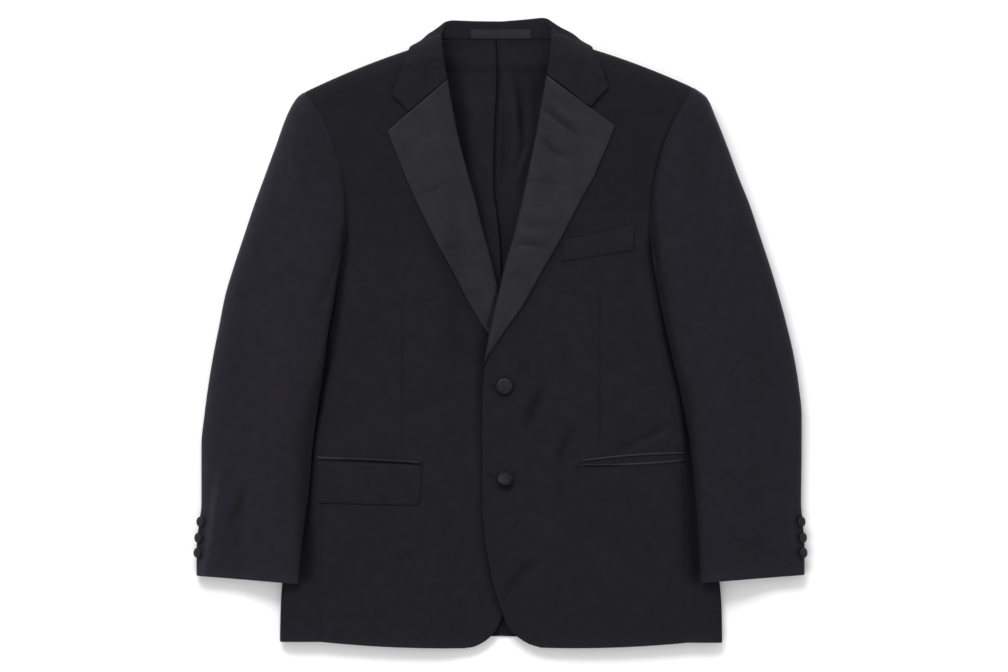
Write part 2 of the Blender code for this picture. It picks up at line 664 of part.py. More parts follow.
def folded_sheet(name, guides, over, thickness, material):
    # A sheet turned over a fold: from its lower or hidden edge, round the fold, to its outer edge
    seam, fold, fall, edge = guides
    out = unit(unit(seam - fold) + unit(fall - fold))
    up = fall - seam
    up = unit(up - out * np.sum(up * out, axis=-1, keepdims=True))
    below = fold + out * 0.85 * over - up * 0.92 * over
    above = fold + out * 0.85 * over + up * 0.92 * over
    sections = [
        seam,
        (seam + below) / 2,
        below,
        fold + out * 0.2 * over - up * 0.6 * over,
        fold,
        fold + out * 0.2 * over + up * 0.6 * over,
        above,
        (fall + above) / 2,
        fall,
        (fall + edge) / 2,
        edge,
    ]
    grid = np.stack(sections, axis=1)
    normals = grid_normals(grid)
    return wall(name, grid, grid - normals * thickness, material)


def build_lapel(side):
    rows = LAPEL_ROWS[side]
    count = len(rows["fold_x"])
    at = np.linspace(0, count - 1, 2 * count - 1)
    line = {name: smooth(np.arange(count), values, at) for name, values in rows.items()}
    fold = np.column_stack([line["fold_x"], line["fold_y"]])
    edge = np.column_stack([line["edge_x"], line["edge_y"]])
    across = unit(edge - fold)
    reach = np.linalg.norm(edge - fold, axis=1)[:, None]
    fall = fold + across * np.minimum(LAPEL_SOFT_REACH, 0.5 * reach)
    seam = fold + across * np.minimum(LAPEL_RETURN, 0.9 * reach)

    def at_height(plan, lift):
        return np.column_stack([plan, front_height(side, plan[:, 0], plan[:, 1]) + lift])

    above = LAPEL_CLEAR + SATIN
    guides = [
        at_height(seam, -WOOL - above),
        at_height(fold, -WOOL / 2),
        at_height(fall, above + LAPEL_ROLL / 2),
        at_height(edge, above),
    ]
    guides = [world(side, guide) for guide in guides]
    if side == "right":
        guides = [guide[::-1] for guide in guides]
    return folded_sheet(f"lapel_{side}", guides, LAPEL_OVER, SATIN, "satin")


def collar_guides(side):
    back = COLLAR_BACK[side]
    front = COLLAR_FRONT[side]
    count = len(back["fold_x"]) + len(front["fold_x"])
    at = np.linspace(0, count - 1, 2 * count - 1)
    guides = []
    for part in ("seam", "fold", "fall", "edge"):
        x = np.concatenate([back[f"{part}_x"], front[f"{part}_x"]])
        y = np.concatenate([back[f"{part}_y"], front[f"{part}_y"]])
        low, high = -COLLAR_UNDER, COLLAR_OVER
        lift = {"seam": low, "fold": (low + high) / 2, "fall": high, "edge": high}[part]
        over = front_height(side, front[f"{part}_x"], front[f"{part}_y"]) + lift
        z = np.concatenate([back[f"{part}_z"], over])
        line = [smooth(np.arange(count), values, at) for values in (x, y, z)]
        guides.append(world(side, np.column_stack(line)))
    return guides


def build_collar():
    right = collar_guides("right")
    left = collar_guides("left")
    guides = [np.concatenate([b[::-1], a[1:]]) for a, b in zip(right, left)]
    return folded_sheet("collar", guides, COLLAR_FOLD, COLLAR_CLOTH, "wool")


def build_lining():
    # The left layer laps over the middle pleat, turns under and comes out again
    sections = []
    for y in np.linspace(LINING_BOTTOM_Y, LINING_TOP_Y, LINING_ROWS + 1):
        half = float(read(LINING_HALF, "x", y))
        pleat = float(read(PLEAT_X, "x", y))
        rest = np.linspace(pleat + 10, half, 7)
        x = np.array([-half, -0.75 * half, *(pleat + PLEAT_SECTION["offset"]), *rest])
        level = np.array([0, 0, *PLEAT_SECTION["level"], *(0.0 for _ in rest)])
        base = back_height("left", np.abs(x), np.full(len(x), y)) + WOOL + SEAM_GAP + LINING / 2
        base += LINING_NECK_LIFT * ease((y - 285) / 30)
        base += LINING_SIDE_LIFT * ease((np.abs(x) - 44) / 14) * ease((y - 315) / 20)
        apart = (x - pleat - LINING_FOLD_OFFSET) / LINING_FOLD_HALF
        soft = LINING_FOLD * np.exp(-apart ** 2) * ease((y - 60) / 120) * (1 - ease((y - 318) / 20))
        sections.append(np.column_stack([x, np.full(len(x), y), base + level * PLEAT_LIFT + soft]))
    grid = np.array(sections)
    normals = grid_normals(grid)
    half_wall = normals * LINING / 2
    return wall("lining_back", grid + half_wall, grid - half_wall, "lining")


def laid_on(name, side, corners, thickness, material, rows=1, corner=0.0):
    # A flat piece that follows the front under it
    a, b, c, d = (np.array(point, float) for point in corners)
    u = np.linspace(0, 1, POCKET_STEPS + 1)[None, :, None]
    v = np.linspace(0, 1, rows + 1)[:, None, None]
    plan = (1 - v) * ((1 - u) * d + u * c) + v * ((1 - u) * a + u * b)
    if corner:
        length = np.linalg.norm(c - d)
        near = np.clip(1 - u[0, :, 0] * length / corner, 0, 1)
        plan[0, :, 1] += corner * (1 - np.sqrt(1 - near * near))
    x, y = plan[..., 0], plan[..., 1]
    lower = world(side, np.dstack([x, y, front_height(side, x, y) + LAID_GAP]))
    if side == "right":
        lower = lower[:, ::-1]
    normals = grid_normals(lower)
    return wall(name, lower + normals * thickness, lower, material)


def build_pockets():
    laid_on("chest_welt", "left", WELT, 1.4, "wool")
    laid_on("pocket_jet_upper_left", "left", JET_UPPER, 1.2, "satin")
    laid_on("pocket_jet_lower_left", "left", JET_LOWER, 1.2, "satin")
    laid_on("pocket_jet_right", "right", JET_RIGHT, 1.4, "satin")
    laid_on("pocket_flap_right", "right", FLAP, 1.6, "wool", rows=3, corner=FLAP_CORNER)


def turned(name, place, axis, profile, sides, material):
    # A turned form: profile gives radius and height along the axis
    axis = unit(np.array(axis, float))
    across = unit(np.cross(axis, (0, 1, 0)))
    other = np.cross(axis, across)
    points = [place + axis * profile[0][1]]
    for radius, height in profile[1:-1]:
        for k in range(sides):
            angle = 2 * math.pi * k / sides
            spoke = across * math.cos(angle) + other * math.sin(angle)
            points.append(place + axis * height + radius * spoke)
    points.append(place + axis * profile[-1][1])
    faces = []
    rings = len(profile) - 2
    for k in range(sides):
        after = (k + 1) % sides
        faces.append((0, 1 + after, 1 + k))
        for ring in range(rings - 1):
            low, high = 1 + ring * sides, 1 + (ring + 1) * sides
            faces.append((low + k, low + after, high + after, high + k))
        faces.append((1 + (rings - 1) * sides + k, 1 + (rings - 1) * sides + after, len(points) - 1))
    return make_mesh(name, points, split(faces), material)


def button_profile(radius, height):
    return [
        (0, 0), (0.55 * radius, 0), (0.62 * radius, 0.3 * height), (radius, 0.42 * height),
        (0.97 * radius, 0.72 * height), (0.7 * radius, 0.95 * height), (0, height),
    ]


def build_buttons():
    for name, (x, y) in FRONT_BUTTONS.items():
        place = np.array([x, y, float(front_height("left", x, y)) + LAID_GAP])
        profile = button_profile(BUTTON_RADIUS, BUTTON_HEIGHT)
        turned(f"front_button_{name}", place, (0, 0, 1), profile, 16, "satin")
    for side in ("right", "left"):
        sleeve = sleeve_grid(side, armhole_ring(side, front_grid(side)))
        for number, y in enumerate(CUFF_BUTTON_Y, 1):
            place, axis = cuff_button_seat(side, sleeve, y)
            profile = button_profile(CUFF_BUTTON_RADIUS, CUFF_BUTTON_HEIGHT)
            turned(f"cuff_button_{side}_{number}", place, axis, profile, 10, "satin")


def cuff_button_seat(side, sleeve, y):
    # On the rolled outer edge, leaning outwards
    sleeve = sleeve[::-1]
    ends = []
    for column in CUFF_BUTTON_COLUMNS:
        line = sleeve[:, column]
        ends.append(np.array([np.interp(y, line[:, 1], line[:, 0]), y, np.interp(y, line[:, 1], line[:, 2])]))
    axis = unit(np.cross(ends[0] - ends[1], sleeve[0, column] - sleeve[1, column]))
    place = (ends[0] + ends[1]) / 2 + axis * CUFF_BUTTON_GAP
    return world(side, place), world(side, axis)


def build_label():
    x = np.linspace(-LABEL_HALF, LABEL_HALF, 7)
    lower = np.array([np.column_stack([x, np.full(7, y), np.full(7, z)]) for y, z in LABEL_ROWS])
    return wall("neck_label", lower + np.array([0, 0, LABEL_THICKNESS]), lower, "label")


def main():
    for item in list(bpy.data.objects):
        bpy.data.objects.remove(item, do_unlink=True)
    build_body()
    for side in ("right", "left"):
        build_lapel(side)
    build_collar()
    build_lining()
    build_label()
    build_pockets()
    build_buttons()


main()
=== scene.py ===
# Tuxedo jacket laid flat on its back: finished cloth over its solids, with a floor, lights and a camera.
# Tables are in millimetres: x to the wearer's left, y from hem to collar, z up from the surface.
# "right" and "left" are the wearer's. Side tables give x as a distance towards that side.
import math

import bpy
import numpy as np
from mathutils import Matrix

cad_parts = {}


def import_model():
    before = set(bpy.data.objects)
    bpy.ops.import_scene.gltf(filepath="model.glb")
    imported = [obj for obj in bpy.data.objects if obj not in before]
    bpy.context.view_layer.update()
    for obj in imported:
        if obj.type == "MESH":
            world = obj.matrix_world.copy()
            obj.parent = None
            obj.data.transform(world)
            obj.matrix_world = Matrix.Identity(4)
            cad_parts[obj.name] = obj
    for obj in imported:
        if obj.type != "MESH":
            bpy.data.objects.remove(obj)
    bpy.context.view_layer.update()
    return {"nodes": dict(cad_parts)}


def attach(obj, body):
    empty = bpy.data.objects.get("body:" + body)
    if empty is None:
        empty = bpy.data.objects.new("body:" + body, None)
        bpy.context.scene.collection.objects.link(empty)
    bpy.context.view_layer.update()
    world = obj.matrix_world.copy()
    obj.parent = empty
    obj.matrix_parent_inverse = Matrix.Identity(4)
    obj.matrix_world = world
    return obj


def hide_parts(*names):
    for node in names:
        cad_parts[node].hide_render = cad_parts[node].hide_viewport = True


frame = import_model()
mm = 0.001
signOf = {"right": -1.0, "left": 1.0}
print("frame loaded:", len(frame["nodes"]), "nodes")


# Small helpers for tables and curves
def table(columns, rows):
    return dict(zip(columns.split(), np.array(rows, float).T))


def smooth(knots, values, at):
    # Smooth curve through the values that never swings past a knot
    knots, values, at = (np.asarray(item, float) for item in (knots, values, at))
    secant = np.diff(values) / np.diff(knots)
    before, after = secant[:-1], secant[1:]
    same = before * after > 0
    inner = np.where(same, 2 * before * after / np.where(same, before + after, 1), 0)
    slope = np.concatenate([secant[:1], inner, secant[-1:]])
    at = np.clip(at, knots[0], knots[-1])
    i = np.clip(np.searchsorted(knots, at, side="right") - 1, 0, len(knots) - 2)
    step = knots[i + 1] - knots[i]
    t = (at - knots[i]) / step
    start = values[i] * (1 + 2 * t) + slope[i] * step * t
    end = values[i + 1] * (3 - 2 * t) - slope[i + 1] * step * (1 - t)
    return start * (1 - t) ** 2 + end * t ** 2


def read(rows, column, at, key="y"):
    return smooth(rows[key], rows[column], at)


def ease(value):
    value = np.clip(value, 0, 1)
    return value * value * (3 - 2 * value)


def roll(distance, width):
    # Share of full height at a distance from an edge that rolls over in a quarter ellipse
    share = 1 - np.clip(np.asarray(distance, float) / width, 0, 1)
    return np.sqrt(1 - share * share)


def unit(vector):
    length = np.linalg.norm(vector, axis=-1, keepdims=True)
    return vector / np.where(length < 1e-9, 1, length)


def steps(count, width, near=(0.7, 1.6, 3.2)):
    # Even steps from 0 to 1, with a few closer ones at both ends of an edge this wide
    close = np.array(near) / width
    even = np.linspace(close[-1] * 1.8, 1 - close[-1] * 1.8, count)
    return np.concatenate([[0], close, even, 1 - close[::-1], [1]])


# The jacket's shape, as in its solids
cloth = {
    "wool": 1.5, "satin": 1.0, "lining": 0.5,
    "seamGap": 0.12, "seamDip": 0.55, "seamWidth": 1.5, "edgeDip": 0.45, "edgeWidth": 1.1,
}
body = {
    "shoulderSeam": 20.0, "shoulderRoll": 22.0, "shoulderSlant": 0.93, "sideRoll": 14.0,
    "dip": 0.2, "dipHalf": 60.0, "lapEdge": 40.0, "lapRise": 38.0,
    "neckLift": 3.2, "neckLiftY": 311.0, "neckLiftRise": 14.0, "neckLiftX": 112.0, "neckLiftFade": 26.0,
    "neckPoint": (85.2, 349.0), "backNeckY": 351.7, "backHem": -363.6, "backMiddle": 112.0,
    "backStep": 4.0, "backSpacing": 1.7,
    "underarm": {"left": (181.5, 100.0), "right": (189.5, 100.0)},
}
bodyHeight = table("y height", [
    (-385, 15.5), (-300, 17), (-200, 19), (-130, 20.5), (-60, 23),
    (0, 27), (60, 31), (110, 34.5), (170, 38), (230, 40), (300, 41), (360, 41),
])
lapDrop = table("y drop", [
    (-390, 2.7), (-100, 2.7), (-60, 4.5), (-30, 8.4), (75, 8.4), (120, 5), (200, 0), (380, 0),
])
frontColumns = "innerX innerY outerX outerY bow"
frontRows = {
    "left": table(frontColumns, [
        (48, -377.4, 223, -371.5, -2.8), (34, -373.2, 223, -366, -2.8), (22.8, -366.6, 223, -358, -2.5),
        (12.5, -358, 223, -348, -2), (5.5, -346.5, 222.5, -335, -1), (0, -330, 222.5, -316, 0),
        (-8.5, -303, 222, -289, 0), (-16, -266, 221.5, -252, 0), (-21.5, -215, 221, -205, 0),
        (-22.2, -150, 216, -146, 0), (-22.2, -85, 206, -84, 0), (-17.5, -30, 196, -28, 0),
        (-5.5, 21, 186, 30, 0), (10.5, 90, 179.5, 108, 0), (27.6, 152, 181.5, 166, 0),
        (42.5, 218, 193.5, 222, 2), (66, 318, 213, 267, 3), (85.2, 349, 230.4, 295.8, 3.4),
    ]),
    "right": table(frontColumns, [
        (44, -378.2, 216, -370.5, -2.5), (34, -376.8, 216, -366, -2.5), (24, -372.6, 216, -358, -2.5),
        (14.5, -366, 216, -348, -2), (6, -355.5, 216, -335, -1), (-1.5, -339, 216, -316, 0),
        (-12, -303, 216, -289, 0), (-21, -266, 216, -252, 0), (-27.5, -215, 216, -205, 0),
        (-29.4, -150, 213, -146, 0), (-29.4, -85, 208, -84, 0), (-17, -30, 200.5, -28, 0),
        (-4, 21, 193, 30, 0), (15, 84, 187.5, 108, 0), (33.5, 154, 188.4, 168, 0),
        (51.5, 222, 201, 223, 2), (76, 316, 221, 270, 3), (85.2, 349, 236.4, 289.8, 3.6),
    ]),
}
bodyEdge = {
    "left": table("y x", [
        (-385, 266), (-334, 265.2), (-299, 262.8), (-216, 250), (-140, 234), (-78, 218.5), (-9, 202.4),
        (35, 193.2), (69, 186.6), (100, 181.5), (125, 189), (170, 204), (220, 222), (300, 250),
    ]),
    "right": table("y x", [
        (-385, 266), (-334, 265), (-299, 262.8), (-216, 249), (-140, 233), (-78, 219), (-9, 209.8),
        (35, 202.2), (69, 196.6), (100, 189.5), (125, 196), (170, 211), (220, 228), (300, 255),
    ]),
}
backSeam = table("y x", [(-385, 200), (-200, 188), (-60, 170), (30, 156), (110, 150)])
backArmhole = {
    "left": table("share x y", [
        (0, 185.5, 124), (0.25, 192, 166), (0.5, 201.5, 210), (0.75, 215, 255), (1, 230.4, 295.8),
    ]),
    "right": table("share x y", [
        (0, 193, 124), (0.25, 200.5, 166), (0.5, 210, 208), (0.75, 222.5, 250), (1, 236.4, 289.8),
    ]),
}
backNeckHeight = table("x height", [(0, 6), (40, 6), (60, 8.5), (85.2, 20), (260, 20)])
detail = {
    "hemRows": 96, "underarmRows": 18, "lastSideRow": 12, "armhole": 6,
    "frontColumns": 62, "dartShare": 0.42, "backColumns": 40, "sleeveRows": 124,
}


def shoulderLine(side, x):
    rows = frontRows[side]
    neckX, neckY = body["neckPoint"]
    share = (np.asarray(x, float) - neckX) / (rows["outerX"][-1] - neckX)
    bend = 4 * rows["bow"][-1] * np.clip(share, 0, 1) * (1 - np.clip(share, 0, 1))
    return neckY + share * (rows["outerY"][-1] - neckY) + bend


def frontHeight(side, x, y):
    # Upper face of a front, rolling down to the body's edge and to the shoulder seam
    dip = body["dip"] * np.exp(-(np.asarray(x, float) / body["dipHalf"]) ** 2)
    full = read(bodyHeight, "height", y) * (1 - dip)
    if side == "right":
        full = full - read(lapDrop, "drop", y) * (1 - ease((x - body["lapEdge"]) / body["lapRise"]))
    middle = read(bodyHeight, "height", y) / 2
    full = middle + (full - middle) * roll(read(bodyEdge[side], "x", y) - x, body["sideRoll"])
    below = (shoulderLine(side, x) - y) * body["shoulderSlant"]
    seam = body["shoulderSeam"]
    return seam + (full - seam) * roll(below, body["shoulderRoll"])


def backTop(side, x):
    neckX, neckY = body["neckPoint"]
    middleY = body["backNeckY"]
    return np.where(x < neckX, middleY + (neckY - middleY) * x / neckX, shoulderLine(side, x))


def backHeight(side, x, y):
    # Underside of a back: flat on the surface, lifted over the collar's fall and up to the shoulder seam
    lift = body["neckLift"] * ease((y - body["neckLiftY"]) / body["neckLiftRise"])
    lift = lift * (1 - ease((x - body["neckLiftX"]) / body["neckLiftFade"]))
    edge = smooth(backNeckHeight["x"], backNeckHeight["height"], x)
    below = (backTop(side, x) - y) * body["shoulderSlant"]
    return lift + (edge - lift) * (1 - roll(below, body["shoulderRoll"]))


def coons(bottom, top, left, right, u, v):
    # Fills the space between four edges
    u, v = u[None, :, None], v[:, None, None]
    across = (1 - u) * left[:, None] + u * right[:, None]
    along = (1 - v) * bottom[None] + v * top[None]
    corners = (1 - v) * ((1 - u) * bottom[0] + u * bottom[-1]) + v * ((1 - u) * top[0] + u * top[-1])
    return across + along - corners


darts = {
    "right": {"x": 118.0, "top": 57.0, "bottom": -143.5},
    "left": {"x": 118.6, "top": 60.0, "bottom": -133.5},
}
dartForm = {"depth": 0.8, "half": 1.3, "topFade": 30.0, "bottomFade": 6.0, "shade": 0.3}
dartColumns = np.array([-0.013, -0.006, 0, 0.006, 0.013])


def frontGrid(side):
    # Rows from the hem up, columns from the front edge to the side, one of them along the dart
    rows = frontRows[side]
    last = detail["lastSideRow"]
    index = np.arange(len(rows["bow"]))
    hemY, lastY = rows["outerY"][0], rows["outerY"][last]
    lowerY = hemY + (lastY - hemY) * steps(detail["hemRows"], 400)[:-3]
    lower = np.interp(lowerY, rows["outerY"][:last + 1], index[:last + 1])
    middle = np.linspace(lower[-1], last + 1, detail["underarmRows"] + 1)[1:-1]
    armhole = last + 1 + (len(index) - 2 - last) * np.linspace(0, 1, 8 * detail["armhole"] + 1)
    at = np.concatenate([lower, middle, armhole])
    line = {name: smooth(index, values, at) for name, values in rows.items()}
    s = steps(detail["frontColumns"], 220)
    dart = detail["dartShare"]
    s = np.sort(np.concatenate([s, dart + dartColumns]))
    innerX, outerX = line["innerX"][:, None], line["outerX"][:, None]
    dartU = (darts[side]["x"] - innerX) / (outerX - innerX)
    u = np.where(s < dart, s / dart * dartU, dartU + (s - dart) / (1 - dart) * (1 - dartU))
    x = innerX + (outerX - innerX) * u
    y = line["innerY"][:, None] + (line["outerY"] - line["innerY"])[:, None] * u
    y = y + line["bow"][:, None] * 4 * u * (1 - u)
    return np.stack([x, y, frontHeight(side, x, y)], axis=-1), len(lower) + len(middle)


def lengthAlong(points):
    return np.concatenate([[0], np.cumsum(np.linalg.norm(np.diff(points, axis=0), axis=1))])


def evenly(points, count):
    # The same line as this many evenly spaced points
    points = np.asarray(points, float)
    length = lengthAlong(points)
    at = np.linspace(0, length[-1], count)
    return np.stack([np.interp(at, length, points[:, k]) for k in range(points.shape[1])], axis=-1)


def sideArc(edge, y, middle, angles):
    # Points round the side of the body at one height y, by their angle above the edge
    x = edge - body["sideRoll"] * (1 - np.cos(angles))
    return np.column_stack([x, np.full(len(x), y), middle * (1 + np.sin(angles))])


def sidePanelGrid(side, front, sideRows, head):
    # From the front seam over the body's edge to the back seam, then up to the underarm
    half = 4 * detail["armhole"]
    turns = np.linspace(math.pi / 2, 0, 14)
    grid = []
    for row in range(sideRows):
        seamX, y, seamZ = front[row, -1]
        if y > frontRows[side]["outerY"][detail["lastSideRow"]] + 0.01:
            break
        edge = float(read(bodyEdge[side], "x", y))
        middle = float(read(bodyHeight, "height", y)) / 2
        start = math.acos(1 - min((edge - seamX) / body["sideRoll"], 1))
        over = sideArc(edge, y, middle, turns[turns < start + 1e-6])
        below = sideArc(edge, y, middle, -turns[::-1])
        top = np.concatenate([[(seamX, y, seamZ)], over])
        under = np.concatenate([below, [(float(read(backSeam, "x", y)), y, 0.0)]])
        grid.append(np.concatenate([evenly(top, half + 1), evenly(under, half + 1)[1:]]))
    last = grid[-1]
    count = sideRows - len(grid)
    for k in range(1, count + 1):
        row = last + (head - last) * k / (count + 1)
        shift = front[len(grid), -1] - row[0]
        fade = np.clip(1 - np.arange(2 * half + 1) / half, 0, 1)[:, None]
        grid.append(row + shift * fade)
    return np.array([*grid, head])


def armholeRing(side, front, sideRows):
    # Closed seam round the armhole, from the underarm up the front and down the back
    half = 4 * detail["armhole"]
    point = body["underarm"][side]
    under = np.array([*point, float(read(bodyHeight, "height", point[1])) / 2])
    top = front[sideRows:, -1]
    seam = top[0]
    share = np.linspace(1, 0, len(top))
    rows = backArmhole[side]
    x = smooth(rows["share"], rows["x"], share)
    y = smooth(rows["share"], rows["y"], share)
    back = np.stack([x, y, backHeight(side, x, y)], axis=-1)
    back[0] = top[-1]
    rise = [under + (seam - under) * k / half for k in range(half)]
    fall = [back[-1] + (under - back[-1]) * k / half for k in range(1, half)]
    for k, place in enumerate(fall, 1):
        place[2] = back[-1][2] + (under[2] - back[-1][2]) * (k / half) ** 2
    return np.array([*rise, *top, *back[1:], *fall])


def backGrid(side, panel, ring):
    # From the seam down the middle to the side seam and armhole
    neckX = body["neckPoint"][0]
    count = 8 * detail["armhole"]
    start = len(ring) - 4 * detail["armhole"]
    armhole = ring[start - count:start + 1][::-1]
    outer = np.concatenate([panel[:, -1], armhole])
    u = steps(detail["backColumns"], 200)
    topX = outer[-1][0] * u
    topX[np.argmin(np.abs(topX - neckX))] = neckX
    topY = backTop(side, topX)
    bottom = np.stack([outer[0][0] * u, body["backHem"] + (outer[0][1] - body["backHem"]) * u], axis=-1)
    upper = 1 - (1 - np.linspace(0, 1, count + 1)) ** body["backSpacing"]
    above = body["backMiddle"] + (body["backNeckY"] - body["backMiddle"]) * upper
    seamY = panel[:, -1, 1]
    reach = body["backMiddle"] - body["backStep"] - body["backHem"]
    below = body["backHem"] + reach * (seamY - seamY[0]) / (seamY[-1] - seamY[0])
    middleY = np.array([*below, *above])
    middle = np.stack([np.zeros(len(middleY)), middleY], axis=-1)
    v = np.linspace(0, 1, len(outer))
    plan = coons(bottom, np.stack([topX, topY], axis=-1), middle, outer[:, :2], u, v)
    height = backHeight(side, plan[..., 0], plan[..., 1])
    grid = np.concatenate([plan, height[..., None]], axis=-1)
    grid[:, -1] = outer
    grid[-1, topX >= neckX, 2] = body["shoulderSeam"]
    return grid


sleeve = {
    "spacing": 1.22, "ease": 0.4, "nose": 12.0, "edge": 0.45, "fall": 30.0, "first": 23, "last": 37,
    "cuff": {"left": ((239.6, -299.4), (364.8, -290.0)), "right": ((243.6, -300.6), (366.0, -291.0))},
    "top": table("share height", [(0, 38), (0.15, 37), (0.3, 33), (0.5, 28), (0.75, 22), (1, 17)]),
    "roll": table("share width", [(0, 20), (0.2, 18), (0.5, 12), (1, 9)]),
}
innerColumns = "y x low high ledge"
innerEdge = {
    "left": table(innerColumns, [
        (-299.4, 239.6, 19, 28, 28), (-250, 237.5, 20.5, 29.5, 24), (-190, 233, 21.3, 30.3, 18),
        (-130, 226.8, 22, 31, 12), (-70, 215.5, 22.5, 31.5, 6), (-35, 207.5, 20, 32, 4),
        (0, 199.4, 17, 35, 2), (35, 192, 15, 37, 2), (69, 185.6, 14, 38.5, 1), (100, 181.5, 0, 34, 0),
    ]),
    "right": table(innerColumns, [
        (-300.6, 243.6, 19, 28, 24), (-250, 238.4, 20.5, 29.5, 23), (-190, 230.7, 21.3, 30.3, 18),
        (-130, 225.3, 22, 31, 12), (-70, 217, 22.5, 31.5, 6), (-35, 212, 20, 32, 4),
        (0, 207.6, 17, 35, 2), (35, 201, 15, 37, 2), (69, 195.6, 14, 38.5, 1), (100, 189.5, 0, 34, 0),
    ]),
}
outerEdge = {
    "left": table("y x", [
        (-290, 364.8), (-260, 364.8), (-224, 362.4), (-206, 360.6), (-134, 361.2), (-98, 361.2),
        (-62, 357.6), (-26, 351.6), (10, 343.2), (46, 333.6), (82, 322.8), (118, 310.8),
        (154, 298.8), (190, 284.4), (226, 271.2), (262, 256.8), (283, 247.2), (295.8, 230.4),
    ]),
    "right": table("y x", [
        (-291, 366), (-260, 366), (-224, 362.4), (-206, 360), (-134, 360), (-98, 356.4),
        (-62, 351.6), (-26, 345.6), (10, 338.4), (46, 331.2), (82, 320.4), (118, 308.4),
        (154, 296.4), (190, 283.2), (226, 270), (262, 256.8), (283, 244.8), (289.8, 236.4),
    ]),
}


def tubeSection(inner, outer, low, high, ledge, top, width):
    length = np.linalg.norm(outer - inner)
    quarter = 3 * detail["armhole"]
    around = 24 * detail["armhole"]
    turns = np.arange(quarter + 1) / quarter * math.pi / 2
    near = sleeve["nose"] * (1 - np.cos(turns))
    far = length - width * (1 - np.cos(turns))
    middle = np.linspace(near[-1], far[-1], around // 2 - 2 * quarter + 1)
    distance = np.concatenate([near, middle[1:-1], far[::-1]])
    upper = high + (top - high) * ease((distance - ledge) / (0.5 * length))
    lower = low * (1 - ease((distance - ledge) / sleeve["fall"]))
    innerMiddle, outerMiddle = (low + high) / 2, top * sleeve["edge"]
    middle = innerMiddle + (outerMiddle - innerMiddle) * ease(distance / length)
    rise = roll(distance, sleeve["nose"]) * roll(length - distance, width)
    plan = inner + (outer - inner) * (distance / length)[:, None]
    upper = np.column_stack([plan, middle + (upper - middle) * rise])
    lower = np.column_stack([plan, middle + (lower - middle) * rise])
    return np.concatenate([upper, lower[-2:0:-1]])


def sleeveTop(share):
    # Height of a sleeve and the width of its outer roll, at a share of the way to the cuff
    height = float(read(sleeve["top"], "height", share, "share"))
    return height, float(read(sleeve["roll"], "width", share, "share"))


def sleeveGrid(side, ring):
    # Rings from the armhole to the cuff, each eased from the armhole's shape to a flattened tube
    innerEnd, outerEnd = sleeve["cuff"][side]
    underY = body["underarm"][side][1]
    tipY = ring[12 * detail["armhole"]][1]
    share = steps(detail["sleeveRows"], 480) ** sleeve["spacing"]
    grid = []
    for s in share:
        innerY = underY + (innerEnd[1] - underY) * s
        outerY = tipY + (outerEnd[1] - tipY) * s
        rows = innerEdge[side]
        inner = np.array([float(read(rows, "x", innerY)), innerY])
        outer = np.array([float(read(outerEdge[side], "x", outerY)), outerY])
        low, high, ledge = (float(read(rows, name, innerY)) for name in ("low", "high", "ledge"))
        grid.append(tubeSection(inner, outer, low, high, ledge, *sleeveTop(s)))
    grid = np.array(grid)
    fade = 1 - ease(share / sleeve["ease"])
    return grid + (ring - grid[0])[None] * fade[:, None, None]


